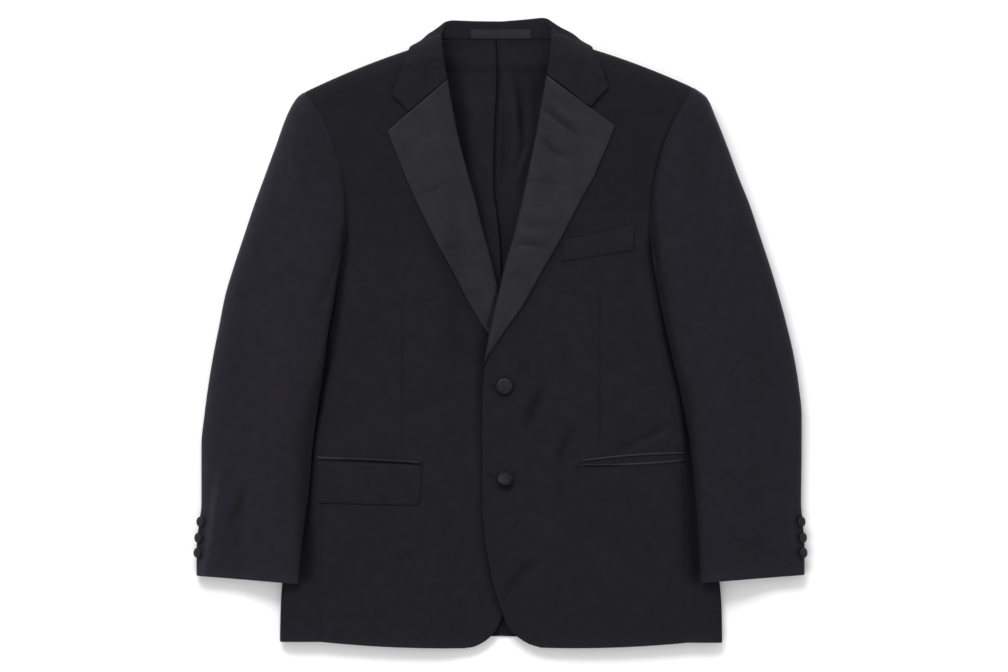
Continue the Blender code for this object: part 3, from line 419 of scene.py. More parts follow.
# Creases: kind, how high or deep, how wide, and the path in (x, y).
# A "fold" has a ridge on its left and a trough on its right, seen along the path.
# A "dark" one is painted shade without a form, a painted highlight where its value is below zero.
creaseForm = {"fade": 0.4, "fold": 1.6, "ridgeShade": 0.5, "mostShade": 0.55, "finer": 6}
creases = {
    "fronts": [
        ("trough", 2.9, 6.2, [(50, -54), (46, -68), (41, -84), (34, -102), (24, -122)]),
        ("ridge", 1.2, 7, [(30, -66), (26, -84), (16, -100)]),
        ("ridge", 1.0, 8, [(60, -70), (52, -92), (42, -112)]),
        ("trough", 1.0, 4, [(22, -24), (27, -38), (33, -56)]),
        ("trough", 1.6, 5.5, [(92, -98), (81, -122), (71, -146), (63, -174)]),
        ("trough", 0.9, 4, [(66, -160), (70, -184), (68, -210)]),
        ("ridge", 1.0, 7, [(76, -108), (66, -132), (56, -160)]),
        ("trough", 1.3, 4.5, [(226, -90), (198, -110), (168, -127), (138, -139), (106, -153)]),
        ("ridge", 1.6, 5, [(220, -108), (190, -126), (160, -139), (140, -146)]),
        ("trough", 2.0, 6, [(48, -266), (32, -280), (16, -297), (5, -316), (1, -334)]),
        ("ridge", 1.0, 8, [(40, -286), (24, -302), (14, -322)]),
        ("trough", 0.8, 5, [(28, -188), (40, -206), (60, -222)]),
        ("trough", 0.7, 5, [(96, -190), (120, -200), (156, -204), (190, -198)]),
        ("ridge", 1.0, 12, [(30, -200), (50, -232), (96, -262), (150, -280)]),
        ("trough", 1.0, 13, [(60, -214), (100, -236), (160, -252), (214, -258)]),
        ("ridge", 0.9, 14, [(80, 40), (96, 0), (100, -60)]),
        ("trough", 0.8, 11, [(150, 90), (158, 40), (166, -20), (176, -70)]),
        ("ridge", 0.8, 9, [(140, -214), (128, -270), (134, -340)]),
        ("fold", 0.8, 6, [(58, 88), (82, 60), (110, 48), (146, 50)]),
        ("trough", 1.0, 10, [(-34, -52), (-70, -78), (-120, -92)]),
        ("ridge", 0.9, 11, [(-40, -96), (-92, -112), (-150, -112)]),
        ("fold", 0.9, 7, [(-44, -220), (-70, -252), (-110, -274), (-160, -282)]),
        ("trough", 0.8, 14, [(-150, 80), (-156, 20), (-164, -60)]),
        ("ridge", 0.8, 10, [(-96, -214), (-84, -280), (-92, -350)]),
        ("fold", 0.8, 6, [(-60, 60), (-88, 34), (-124, 30)]),
        ("ridge", 0.7, 12, [(-130, 250), (-160, 200), (-170, 150)]),
        ("trough", 0.7, 12, [(140, 262), (168, 214), (172, 150)]),
        # Painted shade on the fronts beside the lapels' outer edges
        ("dark", 0.32, 11, [(-112, 182), (-80, 108), (-48, 49), (-22, 1), (-16, -44)]),
        ("dark", 0.28, 9, [(104, 160), (81, 121), (40, 58), (8, 10), (-8, -17), (-14, -50)]),
    ],
    "sleeves": [
        ("ridge", 1.1, 5, [(246, 276), (253, 233), (262, 202), (269, 176), (271, 124), (268, 92)]),
        ("trough", 1.3, 9, [(228, 276), (230, 232), (238, 190), (244, 150), (240, 110)]),
        ("fold", 0.5, 10, [(212, 96), (246, 70), (284, 62), (318, 70)]),
        ("fold", 0.4, 8, [(214, 56), (250, 36), (290, 34)]),
        ("ridge", 1.0, 12, [(262, 30), (268, -60), (282, -140), (300, -220)]),
        ("trough", 0.9, 10, [(300, 40), (312, -40), (322, -130)]),
        ("fold", 0.9, 7, [(232, -150), (262, -166), (300, -166), (336, -152)]),
        ("ridge", 1.2, 3.2, [(343, -180), (350, -230), (352, -278)]),
        ("fold", 0.8, 6, [(262, -230), (292, -246), (322, -240)]),
        ("ridge", 1.1, 5, [(-250, 276), (-252, 220), (-256, 160), (-254, 110)]),
        ("trough", 1.2, 9, [(-236, 262), (-234, 210), (-238, 160), (-236, 116)]),
        ("fold", 0.5, 10, [(-318, 60), (-286, 66), (-250, 80), (-220, 104)]),
        ("fold", 0.4, 8, [(-300, 24), (-262, 30), (-226, 52)]),
        ("ridge", 1.0, 12, [(-262, 20), (-266, -60), (-276, -150), (-290, -230)]),
        ("trough", 0.9, 9, [(-312, 30), (-322, -60), (-330, -130)]),
        ("trough", 2.2, 4.3, [(-308, -176), (-312, -198), (-318, -215), (-329, -240)]),
        ("ridge", 2.0, 6, [(-320, -170), (-327, -200), (-336, -226)]),
        ("trough", 1.2, 4.2, [(-314, -222), (-318, -240), (-318, -264)]),
        ("ridge", 1.6, 3.2, [(-339, -176), (-345, -222), (-351, -276)]),
        # Painted highlight along the cuff's vent
        ("dark", -1.1, 4.2, [
            (-336, -140), (-341, -173), (-346, -200), (-349, -224), (-352, -248), (-356, -272), (-364, -330),
        ]),
        ("ridge", 0.8, 9, [(-300, -100), (-306, -160), (-304, -220), (-310, -280)]),
        ("fold", 0.6, 7, [(-246, -196), (-270, -214), (-300, -216)]),
    ],
    "backs": [
        ("fold", 0.8, 9, [(40, -120), (80, -150), (140, -160)]),
        ("fold", 0.8, 9, [(-40, -90), (-84, -126), (-140, -140)]),
        ("trough", 0.8, 12, [(60, 120), (74, 20), (70, -60)]),
        ("trough", 0.8, 12, [(-62, 140), (-76, 40), (-70, -40)]),
        ("fold", 0.7, 8, [(30, 250), (80, 262), (140, 240)]),
        ("fold", 0.7, 8, [(-34, 236), (-90, 250), (-140, 232)]),
        ("ridge", 0.7, 10, [(24, -200), (30, -280), (26, -350)]),
    ],
    "lapels": [
        ("trough", 2.4, 4.6, [(38, 277), (55, 267.5), (71, 256.5), (84, 245.5), (98, 232)]),
        ("ridge", 1.2, 3.4, [(54, 276), (74, 264), (92, 250)]),
        ("trough", 1.6, 4.4, [(49, 242), (55, 228), (66, 218), (86, 210)]),
        ("trough", 0.8, 4.0, [(22, 180), (44, 183), (66, 180), (84, 172)]),
        ("trough", 0.8, 4.0, [(18, 128), (42, 132), (62, 130), (76, 122)]),
        ("ridge", 0.8, 4.0, [(16, 142), (40, 146), (66, 140)]),
        ("trough", 1.7, 3.8, [(10, 103), (30, 108), (46, 106), (60, 98)]),
        ("ridge", 0.9, 4.0, [(12, 116), (32, 119), (56, 112)]),
        ("trough", 0.8, 3.5, [(2, 66), (20, 70), (38, 64)]),
        ("ridge", 0.7, 9, [(86, 214), (70, 160), (44, 100)]),
        # Painted shadow on the right lapel beside the left lapel's edge
        ("dark", 0.85, 2.2, [(10, 98), (-2.8, 58), (-10, 30), (-17.6, 1), (-26, -34)]),
        ("trough", 0.8, 3.0, [(-101, 166), (-76, 176), (-50, 189)]),
        ("trough", 0.7, 4.0, [(-80, 98), (-56, 104), (-28, 104)]),
        ("ridge", 0.6, 5.0, [(-108, 222), (-84, 228), (-56, 226)]),
        ("trough", 0.7, 4.0, [(-52, 44), (-36, 50), (-12, 50)]),
        ("fold", 0.5, 4.0, [(-60, 44), (-40, 46), (-18, 48)]),
        ("ridge", 0.7, 9, [(-98, 210), (-78, 156), (-46, 90)]),
    ],
    "lining": [
        ("trough", 2.2, 5, [(14, 326), (19, 304), (24, 282), (27, 244), (26, 214)]),
        ("ridge", 1.2, 7, [(6, 330), (11, 300), (14, 260), (16, 230)]),
        ("ridge", 1.0, 7, [(36, 330), (38, 290), (36, 250)]),
        ("trough", 1.6, 5, [(6, 300), (6, 250), (4, 200), (0, 150)]),
        ("ridge", 1.6, 6, [(-12, 184), (-6, 154), (-3, 128), (1, 108), (6, 80)]),
        ("fold", 1.3, 5, [(-55, 320), (-44, 330), (-28, 338)]),
        ("trough", 1.4, 8, [(34, 330), (42, 290), (40, 250)]),
        ("ridge", 1.0, 7, [(-34, 330), (-38, 290), (-30, 240)]),
        ("fold", 1.0, 6, [(-30, 210), (-18, 196), (-10, 170)]),
        ("fold", 1.0, 5, [(34, 236), (24, 206), (14, 176)]),
        # Painted shade in the lining beside the collar's edges
        ("dark", 0.5, 7, [(-68, 386), (-64, 340), (-56, 290), (-47, 244), (-34, 186)]),
        ("dark", 0.45, 7, [(60, 386), (56, 340), (50, 290), (43, 244), (33, 186)]),
    ],
    "collar": [
        ("ridge", 0.5, 7, [(-118, 330), (-112, 300), (-108, 286)]),
        ("ridge", 0.5, 7, [(120, 328), (112, 300), (108, 284)]),
        ("trough", 0.5, 6, [(-84, 336), (-88, 310), (-86, 290)]),
        ("trough", 0.5, 6, [(86, 334), (92, 308), (90, 288)]),
    ],
}


def nearestOnPath(path, x, y):
    # Distance from a path, positive on its left, and the share of the way along it
    knots = np.array(path, float)
    index = np.arange(len(knots))
    at = np.linspace(0, index[-1], creaseForm["finer"] * index[-1] + 1)
    line = np.stack([smooth(index, knots[:, k], at) for k in range(2)], axis=-1)
    reach = lengthAlong(line)
    best = np.full(np.shape(x), 1e9)
    signed, share = np.zeros(np.shape(x)), np.zeros(np.shape(x))
    for i in range(len(line) - 1):
        step = line[i + 1] - line[i]
        size = float(step @ step)
        t = np.clip(((x - line[i, 0]) * step[0] + (y - line[i, 1]) * step[1]) / size, 0, 1)
        dx, dy = x - line[i, 0] - t * step[0], y - line[i, 1] - t * step[1]
        distance = np.hypot(dx, dy)
        nearer = distance < best
        best = np.where(nearer, distance, best)
        signed = np.where(nearer, np.sign(step[0] * dy - step[1] * dx) * distance, signed)
        share = np.where(nearer, (reach[i] + t * math.sqrt(size)) / reach[-1], share)
    return signed, share


def creaseLift(kind, x, y):
    # Height of the creases, and their painted shade: darker in the troughs, a painted highlight on the ridges
    total, shade = np.zeros(np.shape(x)), np.zeros(np.shape(x))
    for shape, height, width, path in creases[kind]:
        signed, share = nearestOnPath(path, x, y)
        fade = ease(share / creaseForm["fade"]) * ease((1 - share) / creaseForm["fade"])
        near = np.exp(-(signed / width) ** 2)
        if shape == "dark":
            shade += height * fade * near
            continue
        form = {"ridge": near, "trough": -near, "fold": creaseForm["fold"] * signed / width * near}[shape]
        total += height * fade * form
        strength = min(creaseForm["mostShade"], height / width)
        shade -= strength * fade * np.where(form < 0, form, creaseForm["ridgeShade"] * form)
    return total, shade


# Sheets made from grids of points
def world(side, grid):
    return grid * np.array([signOf[side], 1, 1])


def gridNormals(grid):
    return unit(np.cross(np.gradient(grid, axis=1), np.gradient(grid, axis=0)))


def sheetUv(grid):
    # Flat coordinates in metres, so that the weave keeps its scale and follows the cloth
    across = np.linalg.norm(np.diff(grid, axis=1), axis=2)
    along = np.linalg.norm(np.diff(grid, axis=0), axis=2)
    u = np.concatenate([np.zeros((len(grid), 1)), np.cumsum(across, axis=1)], axis=1)
    middle = grid.shape[1] // 2
    v = np.concatenate([[0], np.cumsum(along[:, middle])])
    return np.stack([u - u[:, middle:middle + 1], np.broadcast_to(v[:, None], u.shape)], axis=-1) * mm


def cellCorners(grid):
    return grid[:-1, :-1], grid[:-1, 1:], grid[1:, 1:], grid[1:, :-1]


def makeSheet(name, outer, inner, material, shade=None):
    # Closed thin sheet between two grids of points, outer face first
    rows, cols = outer.shape[:2]
    count = rows * cols
    index = np.arange(count).reshape(rows, cols)
    a, b, c, d = (corner.ravel() for corner in cellCorners(index))
    faces = [np.stack([a, b, c, d], axis=1), np.stack([a, d, c, b], axis=1) + count]
    rim = np.array([*index[0, :], *index[1:, -1], *index[-1, -2::-1], *index[-2:0:-1, 0]])
    after = np.roll(rim, -1)
    faces.append(np.stack([rim, rim + count, after + count, after], axis=1))
    faces = np.concatenate(faces)
    points = np.concatenate([outer.reshape(-1, 3), inner.reshape(-1, 3)]) * mm
    uv = np.concatenate([sheetUv(outer).reshape(-1, 2)] * 2)
    shade = np.zeros((rows, cols)) if shade is None else shade
    return makeMesh(name, points, faces, material, uv, np.concatenate([shade.ravel()] * 2))


def addObject(name, data):
    item = bpy.data.objects.new(name, data)
    bpy.context.scene.collection.objects.link(item)
    return item


def makeMesh(name, points, faces, material, uv, shade):
    mesh = bpy.data.meshes.new(name)
    mesh.from_pydata(np.asarray(points).tolist(), [], [list(map(int, face)) for face in faces])
    mesh.update()
    corners = np.empty(len(mesh.loops), dtype=np.int32)
    mesh.loops.foreach_get("vertex_index", corners)
    mesh.uv_layers.new(name="cloth").data.foreach_set("uv", uv[corners].astype(np.float32).ravel())
    mesh.attributes.new("shade", "FLOAT", "POINT").data.foreach_set("value", shade.astype(np.float32))
    mesh.materials.append(materials[material])
    item = addObject(name, mesh)
    mesh.shade_smooth()
    mesh.set_sharp_from_angle(angle=math.radians(42))
    return item


def edgeDistance(grid, edge):
    axis = 0 if edge.endswith("Row") else 1
    step = np.linalg.norm(np.diff(grid, axis=axis), axis=2)
    zero = np.zeros_like(step[:1]) if axis == 0 else np.zeros_like(step[:, :1])
    total = np.concatenate([zero, np.cumsum(step, axis=axis)], axis=axis)
    if edge.startswith("last"):
        total = (total[-1:] if axis == 0 else total[:, -1:]) - total
    return total


def away(grid, edge, width, start=0):
    # Grows from 0 to 1 over a width, from a distance off an edge
    return ease((edgeDistance(grid, edge) - start) / width)


def inset(grid, normals, seams, gap):
    # Moves each seam edge half the gap into its panel
    moved = grid.copy()
    for edge in seams:
        index, sign = {
            "firstRow": ((0, slice(None)), 1), "lastRow": ((-1, slice(None)), -1),
            "firstColumn": ((slice(None), 0), -1), "lastColumn": ((slice(None), -1), 1),
        }[edge]
        along = unit(np.gradient(grid[index], axis=0))
        moved[index] += gap / 2 * sign * unit(np.cross(normals[index], along))
    return moved


def softEdges(grid, seams, free):
    # How far the outer face sinks at seams and at turned edges
    sink = np.zeros(grid.shape[:2])
    for edge in seams:
        sink += cloth["seamDip"] * np.exp(-(edgeDistance(grid, edge) / cloth["seamWidth"]) ** 2)
    for edge in free:
        sink += cloth["edgeDip"] * np.exp(-(edgeDistance(grid, edge) / cloth["edgeWidth"]) ** 2)
    return sink


def sharedNormals(grids, fixed):
    # One normal for each point of the whole shell, so that sheets which meet at a seam stay parallel
    points, normals, sizes = [], [], []
    for grid in grids.values():
        a, b, c, d = cellCorners(grid)
        face = np.cross(c - a, d - b)
        total = np.zeros(grid.shape)
        for corner in cellCorners(total):
            corner += face
        points.append(grid.reshape(-1, 3))
        normals.append(total.reshape(-1, 3))
        sizes.append(grid.shape)
    keys = np.round(np.concatenate(points), 2) + 0.0
    _, inverse = np.unique(keys, axis=0, return_inverse=True)
    inverse = inverse.reshape(-1)
    total = np.zeros((inverse.max() + 1, 3))
    np.add.at(total, inverse, np.concatenate(normals))
    found = total[inverse]
    for place, normal in fixed:
        found[np.linalg.norm(keys - place, axis=1) < 0.02] = normal
    result, start = {}, 0
    for name, shape in zip(grids, sizes):
        count = shape[0] * shape[1]
        result[name] = unit(found[start:start + count].reshape(shape))
        start += count
    return result


def levelShoulder(normal, grid):
    # At the shoulder seam both sheets end on one level plane, so their normals there lie level
    line = grid[-1]
    along = unit(np.gradient(line, axis=0))
    level = np.stack([-along[:, 1], along[:, 0], np.zeros(len(line))], axis=-1)
    level *= np.sign(level[:, 1:2])
    tip = np.abs(line[:, 0]).max()
    keep = (np.abs(line[:, 0]) >= body["neckPoint"][0] - 1) & (np.abs(line[:, 0]) < tip - 1)
    normal[-1][keep] = unit(level[keep])


# Cloths and threads
finishes = {
    "wool": {
        "dark": (0.0071, 0.0065, 0.0094), "light": (0.0089, 0.0083, 0.0115),
        "rough": 0.88, "specular": 0.12, "fleck": 70.0,
    },
    "satin": {
        "dark": (0.0120, 0.0118, 0.0132), "light": (0.0158, 0.0156, 0.0174),
        "rough": 0.45, "specular": 0.1, "fleck": 40.0,
    },
    "lining": {
        "dark": (0.0059, 0.0055, 0.0080), "light": (0.0075, 0.0069, 0.0100),
        "rough": 0.5, "specular": 0.08, "fleck": 34.0,
    },
    "label": {
        "dark": (0.0128, 0.0122, 0.0158), "light": (0.0158, 0.0151, 0.0190),
        "rough": 0.6, "specular": 0.1, "fleck": 60.0,
    },
    "thread": {
        "dark": (0.0052, 0.0047, 0.0072), "light": (0.0076, 0.0070, 0.0102),
        "rough": 0.6, "specular": 0.15, "fleck": 120.0,
    },
}
ribSpacing = 0.00095
materials = {}


def link(tree, source, output, target, socket):
    tree.links.new(source.outputs[output], target.inputs[socket])


def node(tree, kind, settings=None, **values):
    made = tree.nodes.new(kind)
    for name, value in (settings or {}).items():
        setattr(made, name, value)
    for name, value in values.items():
        made.inputs[name.replace("_", " ")].default_value = value
    return made


def startCloth(name):
    # Two close tones mixed by soft flecks, in every cloth
    finish = finishes[name]
    material = bpy.data.materials.new(name + "Cloth")
    material.use_nodes = True
    tree = material.node_tree
    tree.nodes.clear()
    output = node(tree, "ShaderNodeOutputMaterial")
    look = {"Roughness": finish["rough"], "Specular_IOR_Level": finish["specular"]}
    shader = node(tree, "ShaderNodeBsdfPrincipled", **look)
    link(tree, shader, "BSDF", output, "Surface")
    place = node(tree, "ShaderNodeTexCoord")
    fleck = node(tree, "ShaderNodeTexNoise", Scale=finish["fleck"], Detail=4.0, Roughness=0.6)
    link(tree, place, "Object", fleck, "Vector")
    ramp = node(tree, "ShaderNodeValToRGB")
    for stop, position, tone in zip(ramp.color_ramp.elements, (0.32, 0.68), ("dark", "light")):
        stop.position = position
        stop.color = (*finish[tone], 1)
    link(tree, fleck, "Fac", ramp, "Fac")
    # Painted shade and painted highlights: the 'shade' attribute scales the base colour, darker above zero,
    # paler below; on buttons it also holds a random mottle
    paintedShade = node(tree, "ShaderNodeAttribute", {"attribute_name": "shade"})
    keep = node(tree, "ShaderNodeMath", {"operation": "SUBTRACT"})
    keep.inputs[0].default_value = 1.0
    link(tree, paintedShade, "Fac", keep, 1)
    darker = node(tree, "ShaderNodeVectorMath", {"operation": "SCALE"})
    link(tree, ramp, "Color", darker, 0)
    link(tree, keep, "Value", darker, "Scale")
    link(tree, darker, "Vector", shader, "Base Color")
    materials[name] = material
    return tree, shader, place


def bump(tree, height, output, shader, strength, distance):
    made = node(tree, "ShaderNodeBump", Strength=strength, Distance=distance)
    link(tree, height, output, made, "Height")
    link(tree, made, "Normal", shader, "Normal")


def slantedRibs(tree, place, degrees, **wave):
    turn = node(tree, "ShaderNodeMapping", Rotation=(0, 0, math.radians(degrees)))
    link(tree, place, "UV", turn, "Vector")
    rib = node(tree, "ShaderNodeTexWave", {"wave_type": "BANDS", "bands_direction": "X"}, **wave)
    link(tree, turn, "Vector", rib, "Vector")
    return rib


def makeWool():
    # Fine twill: diagonal ribs broken by fibres
    tree, shader, place = startCloth("wool")
    rib = slantedRibs(tree, place, 27, Scale=0.314 / ribSpacing, Distortion=1.6, Detail=2.0, Detail_Scale=6.0)
    fibre = node(tree, "ShaderNodeTexNoise", Scale=900.0, Detail=3.0, Roughness=0.7)
    link(tree, place, "UV", fibre, "Vector")
    mixed = node(tree, "ShaderNodeMath", {"operation": "MULTIPLY_ADD"})
    link(tree, rib, "Fac", mixed, 0)
    mixed.inputs[1].default_value = 0.6
    link(tree, fibre, "Fac", mixed, 2)
    bump(tree, mixed, "Value", shader, 0.35, 0.00025)
    shader.inputs["Sheen Weight"].default_value = 0.05
    shader.inputs["Sheen Roughness"].default_value = 0.3
    shader.inputs["Sheen Tint"].default_value = (0.86, 0.85, 1.0, 1)


def makeSatin():
    # Long floats: fine lines along the cloth, with a broken gloss
    tree, shader, place = startCloth("satin")
    draw = node(tree, "ShaderNodeMapping", Scale=(2600, 180, 1))
    link(tree, place, "UV", draw, "Vector")
    lines = node(tree, "ShaderNodeTexNoise", Scale=1.0, Detail=3.0, Roughness=0.6)
    link(tree, draw, "Vector", lines, "Vector")
    rough = finishes["satin"]["rough"]
    gloss = node(tree, "ShaderNodeMapRange", To_Min=rough - 0.05, To_Max=rough + 0.08)
    link(tree, lines, "Fac", gloss, "Value")
    link(tree, gloss, "Result", shader, "Roughness")
    bump(tree, lines, "Fac", shader, 0.18, 0.0002)
    shader.inputs["Anisotropic"].default_value = 0.3


def makeLining():
    tree, shader, place = startCloth("lining")
    rib = slantedRibs(tree, place, 45, Scale=560.0, Distortion=0.8, Detail=1.0)
    bump(tree, rib, "Fac", shader, 0.2, 0.00012)


def makeLabel():
    tree, shader, place = startCloth("label")
    weave = node(tree, "ShaderNodeTexBrick", {"offset": 0.5}, Scale=900.0, Mortar_Size=0.03)
    link(tree, place, "UV", weave, "Vector")
    bump(tree, weave, "Fac", shader, 0.3, 0.00012)


def makeThread():
    tree, shader, place = startCloth("thread")
    twist = node(tree, "ShaderNodeTexNoise", Scale=4200.0, Detail=1.0)
    link(tree, place, "Object", twist, "Vector")
    bump(tree, twist, "Fac", shader, 0.4, 0.0001)


makeWool()
makeSatin()
makeLining()
makeLabel()
makeThread()
print("cloths made:", ", ".join(materials))


# Body and sleeves
def shellGrids():
    grids, fixed = {}, []
    for side in ("right", "left"):
        front, sideRows = frontGrid(side)
        ring = armholeRing(side, front, sideRows)
        half = 4 * detail["armhole"]
        for k in range(-half, half + 1):
            turn = math.pi / 2 * k / half
            place = np.round(world(side, ring[k]), 2)
            fixed.append((place, np.array([0, -math.cos(turn), math.sin(turn)])))
        head = np.concatenate([ring[:half + 1][::-1], ring[-half:][::-1]])
        panel = sidePanelGrid(side, front, sideRows, head)
        back = backGrid(side, panel[:-1], ring)
        tube = sleeveGrid(side, ring)
        around = 24 * detail["armhole"]
        first, last = (sleeve[name] * detail["armhole"] for name in ("first", "last"))
        top = np.take(tube, range(first, last + 1), axis=1, mode="wrap")
        under = np.take(tube, range(last, first + around + 1), axis=1, mode="wrap")
        pieces = {
            "front": front, "sidePanel": panel, "back": back[:, ::-1],
            "topSleeve": top[::-1], "underSleeve": under[::-1],
        }
        for name, grid in pieces.items():
            grid = world(side, grid)
            grids[name, side] = grid[:, ::-1] if side == "right" else grid
    return grids, sharedNormals(grids, fixed)


allRound = ("firstColumn", "lastColumn", "lastRow")
everyEdge = ("firstRow", *allRound)
# Each piece's 'tone' is painted light: below zero paler, above zero darker
bodyPieces = {
    "front": {
        "node": "front", "flat": (0.30, 0.76), "area": 0.165,
        "crease": "fronts", "tone": {"right": -0.02, "left": 0.0},
    },
    "sidePanel": {
        "node": "side_panel", "flat": (0.14, 0.50), "area": 0.052,
        "crease": None, "tone": {"right": -0.02, "left": 0.0},
    },
    "back": {
        "node": "back", "flat": (0.24, 0.74), "area": 0.140,
        "crease": "backs", "tone": {"right": -0.02, "left": 0.0},
    },
    "topSleeve": {
        "node": "top_sleeve", "flat": (0.21, 0.62), "area": 0.090,
        "crease": "sleeves", "tone": {"right": -0.36, "left": -0.22},
    },
    "underSleeve": {
        "node": "under_sleeve", "flat": (0.19, 0.60), "area": 0.080,
        "crease": "sleeves", "tone": {"right": -0.35, "left": -0.2},
    },
}
# Depths of the sinks, the amount of painted shade on the chest, and the limits of painted shade and highlight
shading = {
    "still": 14.0, "gutter": 1.2, "gutterLow": 3.2, "underLap": 3.5, "chest": 0.2,
    "palest": -2.2, "darkest": 0.9,
}


# Beside each sleeve and along the armhole the cloth sinks, and painted shade darkens it
beside = {
    "right": table("y x dark bodyWidth sleeveWidth", [
        (-305, 236, 0, 8, 8), (-296, 235, 0.6, 10, 9), (-272, 234, 0.8, 10, 10), (-194, 233, 0.8, 7, 15),
        (-128, 230.6, 0.85, 7, 16), (-80, 221, 0.85, 8, 16), (-20, 207, 0.8, 8, 9), (61, 193, 0.75, 6, 6),
        (124, 186, 0.7, 4, 7), (160, 187, 0.5, 3.5, 6), (208, 200, 0.45, 2.4, 3), (256, 219, 0.3, 2, 3),
        (290, 234, 0, 2, 4),
    ]),
    "left": table("y x dark bodyWidth sleeveWidth", [
        (-305, 236, 0, 10, 7), (-296, 236, 0.6, 12, 7), (-272, 235, 0.8, 14, 7), (-200, 231, 0.8, 13, 9),
        (-128, 226, 0.85, 7, 8), (-80, 220, 0.75, 5, 11), (-20, 206, 0.75, 6, 7), (40, 195, 0.75, 7, 6),
        (100, 184.5, 0.7, 5, 6), (160, 182.4, 0.6, 4, 5), (220, 192, 0.45, 2.5, 4), (260, 208.8, 0.25, 2, 4),
        (285, 224, 0, 2, 4),
    ]),
}
# Painted shade reaching farther onto each sleeve: strength and reach
besideFar = {"right": (0.3, 34.0), "left": (0.06, 20.0)}
# Painted highlight at the sleeves' folds and at the hems: strength and reach
rimLight = {"right": (1.4, 7.0), "left": (1.1, 4.5), "hem": (0.5, 7.0)}
# Painted shadow on the right front beside the left front's lapping edge: where, how dark, how wide
underLap = table("y x dark width", [
    (-345, 4, 0, 4), (-338, 2.4, 0.35, 5), (-318, -4.8, 0.5, 6), (-275, -14.4, 0.55, 6),
    (-224, -21.5, 0.4, 4),
    (-175, -22.2, 0.4, 4), (-80, -22.2, 0.5, 7.5), (-20, -19.5, 0.52, 8), (30, -3, 0.3, 7), (70, 6, 0, 6),
])


def besideShade(side, grid):
    # Painted shade in the gap between sleeve and body
    rows = beside[side]
    y = grid[..., 1]
    apart = np.abs(grid[..., 0]) - read(rows, "x", y)
    width = np.where(apart < 0, read(rows, "bodyWidth", y), read(rows, "sleeveWidth", y))
    inside = (y > rows["y"][0]) & (y < rows["y"][-1])
    near = read(rows, "dark", y) * np.exp(-(apart / width) ** 2)
    strength, reach = besideFar[side]
    far = strength * np.exp(-(apart / reach) ** 2) * (apart > 0)
    far = far * ease((y + 290) / 120) * ease((280 - y) / 60)
    return np.where(inside, np.maximum(near, far), 0)


def rimGlow(name, side, grid):
    # Painted highlight: the sleeve's fold and the hems are made paler, as cloth turning away from the eye
    # looks there
    glow, depth = rimLight["hem"]
    pale = glow * np.exp(-np.abs(grid[..., 1] - grid[:1, :, 1]) / depth)
    if name == "topSleeve":
        glow, depth = rimLight[side]
        apart = read(outerEdge[side], "x", grid[..., 1]) - np.abs(grid[..., 0])
        pale = pale + glow * np.exp(-np.abs(apart) / depth)
    return pale


def underLapShade(grid):
    # Painted shadow under the left front's edge
    y = grid[..., 1]
    apart = read(underLap, "x", y) - grid[..., 0]
    inside = (y > underLap["y"][0]) & (y < underLap["y"][-1])
    return np.where(inside, read(underLap, "dark", y) * np.exp(-(apart / read(underLap, "width", y)) ** 2), 0)


def dartSink(side, grid):
    dart = darts[side]
    fade = ease((grid[..., 1] - dart["bottom"]) / dartForm["bottomFade"])
    fade = fade * ease((dart["top"] - grid[..., 1]) / dartForm["topFade"])
    apart = (np.abs(grid[..., 0]) - dart["x"]) / dartForm["half"]
    return dartForm["depth"] * fade * np.exp(-apart ** 2)


def ringShade(side, grid, x, y, ring):
    # Painted shadow ring in the cloth round a button at (x, y), x towards the side
    strength, radius, width = ring
    apart = np.hypot(signOf[side] * grid[..., 0] - x, grid[..., 1] - y)
    return strength * np.exp(-((apart - radius) / width) ** 2)


def bodyFinish(name, side, grid, normal, seams):
    # How far a piece of the body is lifted by its creases, and its painted shade and highlights
    lift, shade = np.zeros(grid.shape[:2]), np.zeros(grid.shape[:2])
    crease = bodyPieces[name]["crease"]
    y = grid[..., 1]
    if crease:
        still = np.ones(grid.shape[:2])
        for edge in seams:
            still *= away(grid, edge, shading["still"])
        facing = np.clip(normal[..., 2] if name != "back" else -normal[..., 2], 0, 1)
        lift, shade = creaseLift(crease, grid[..., 0], y)
        shade = shade * still * facing
        if name == "back":
            lift = -np.abs(lift)
        if name == "underSleeve":
            facing = np.clip(normal[..., 2] + 0.2, 0, 1)
        lift = lift * still * facing
    if name == "front":
        sunk = dartSink(side, grid)
        lift -= sunk
        # Painted shade in the dart's dip
        shade += dartForm["shade"] * sunk
    if name in ("front", "sidePanel"):
        deep = shading["gutter"] + shading["gutterLow"] * ease((60 - y) / 60)
        # Painted shade over the upper chest
        shade += shading["chest"] * ease((y - 60) / 120)
    else:
        deep = shading["gutter"] * ease((y - 90) / 30)
    if name != "back":
        dark = besideShade(side, grid) * np.clip(normal[..., 2] * 2, 0, 1)
        shade += dark - rimGlow(name, side, grid)
        lift -= dark * deep
    if (name, side) == ("front", "right"):
        dark = underLapShade(grid)
        shade += dark
        lift -= dark * shading["underLap"]
    if (name, side) == ("front", "left"):
        for buttonX, buttonY in buttons["front"]["places"].values():
            shade += ringShade(side, grid, buttonX, buttonY - 1, buttons["front"]["ring"])
    if name == "topSleeve":
        for buttonY in buttons["cuff"]["y"]:
            buttonX = read(outerEdge[side], "x", buttonY) - 2
            shade += ringShade(side, grid, buttonX, buttonY, buttons["cuff"]["ring"])
    # Painted light: each piece and side has a tone, the sleeves painted paler, the wearer's right one most
    shade += bodyPieces[name]["tone"][side]
    return lift, np.clip(shade, shading["palest"], shading["darkest"])


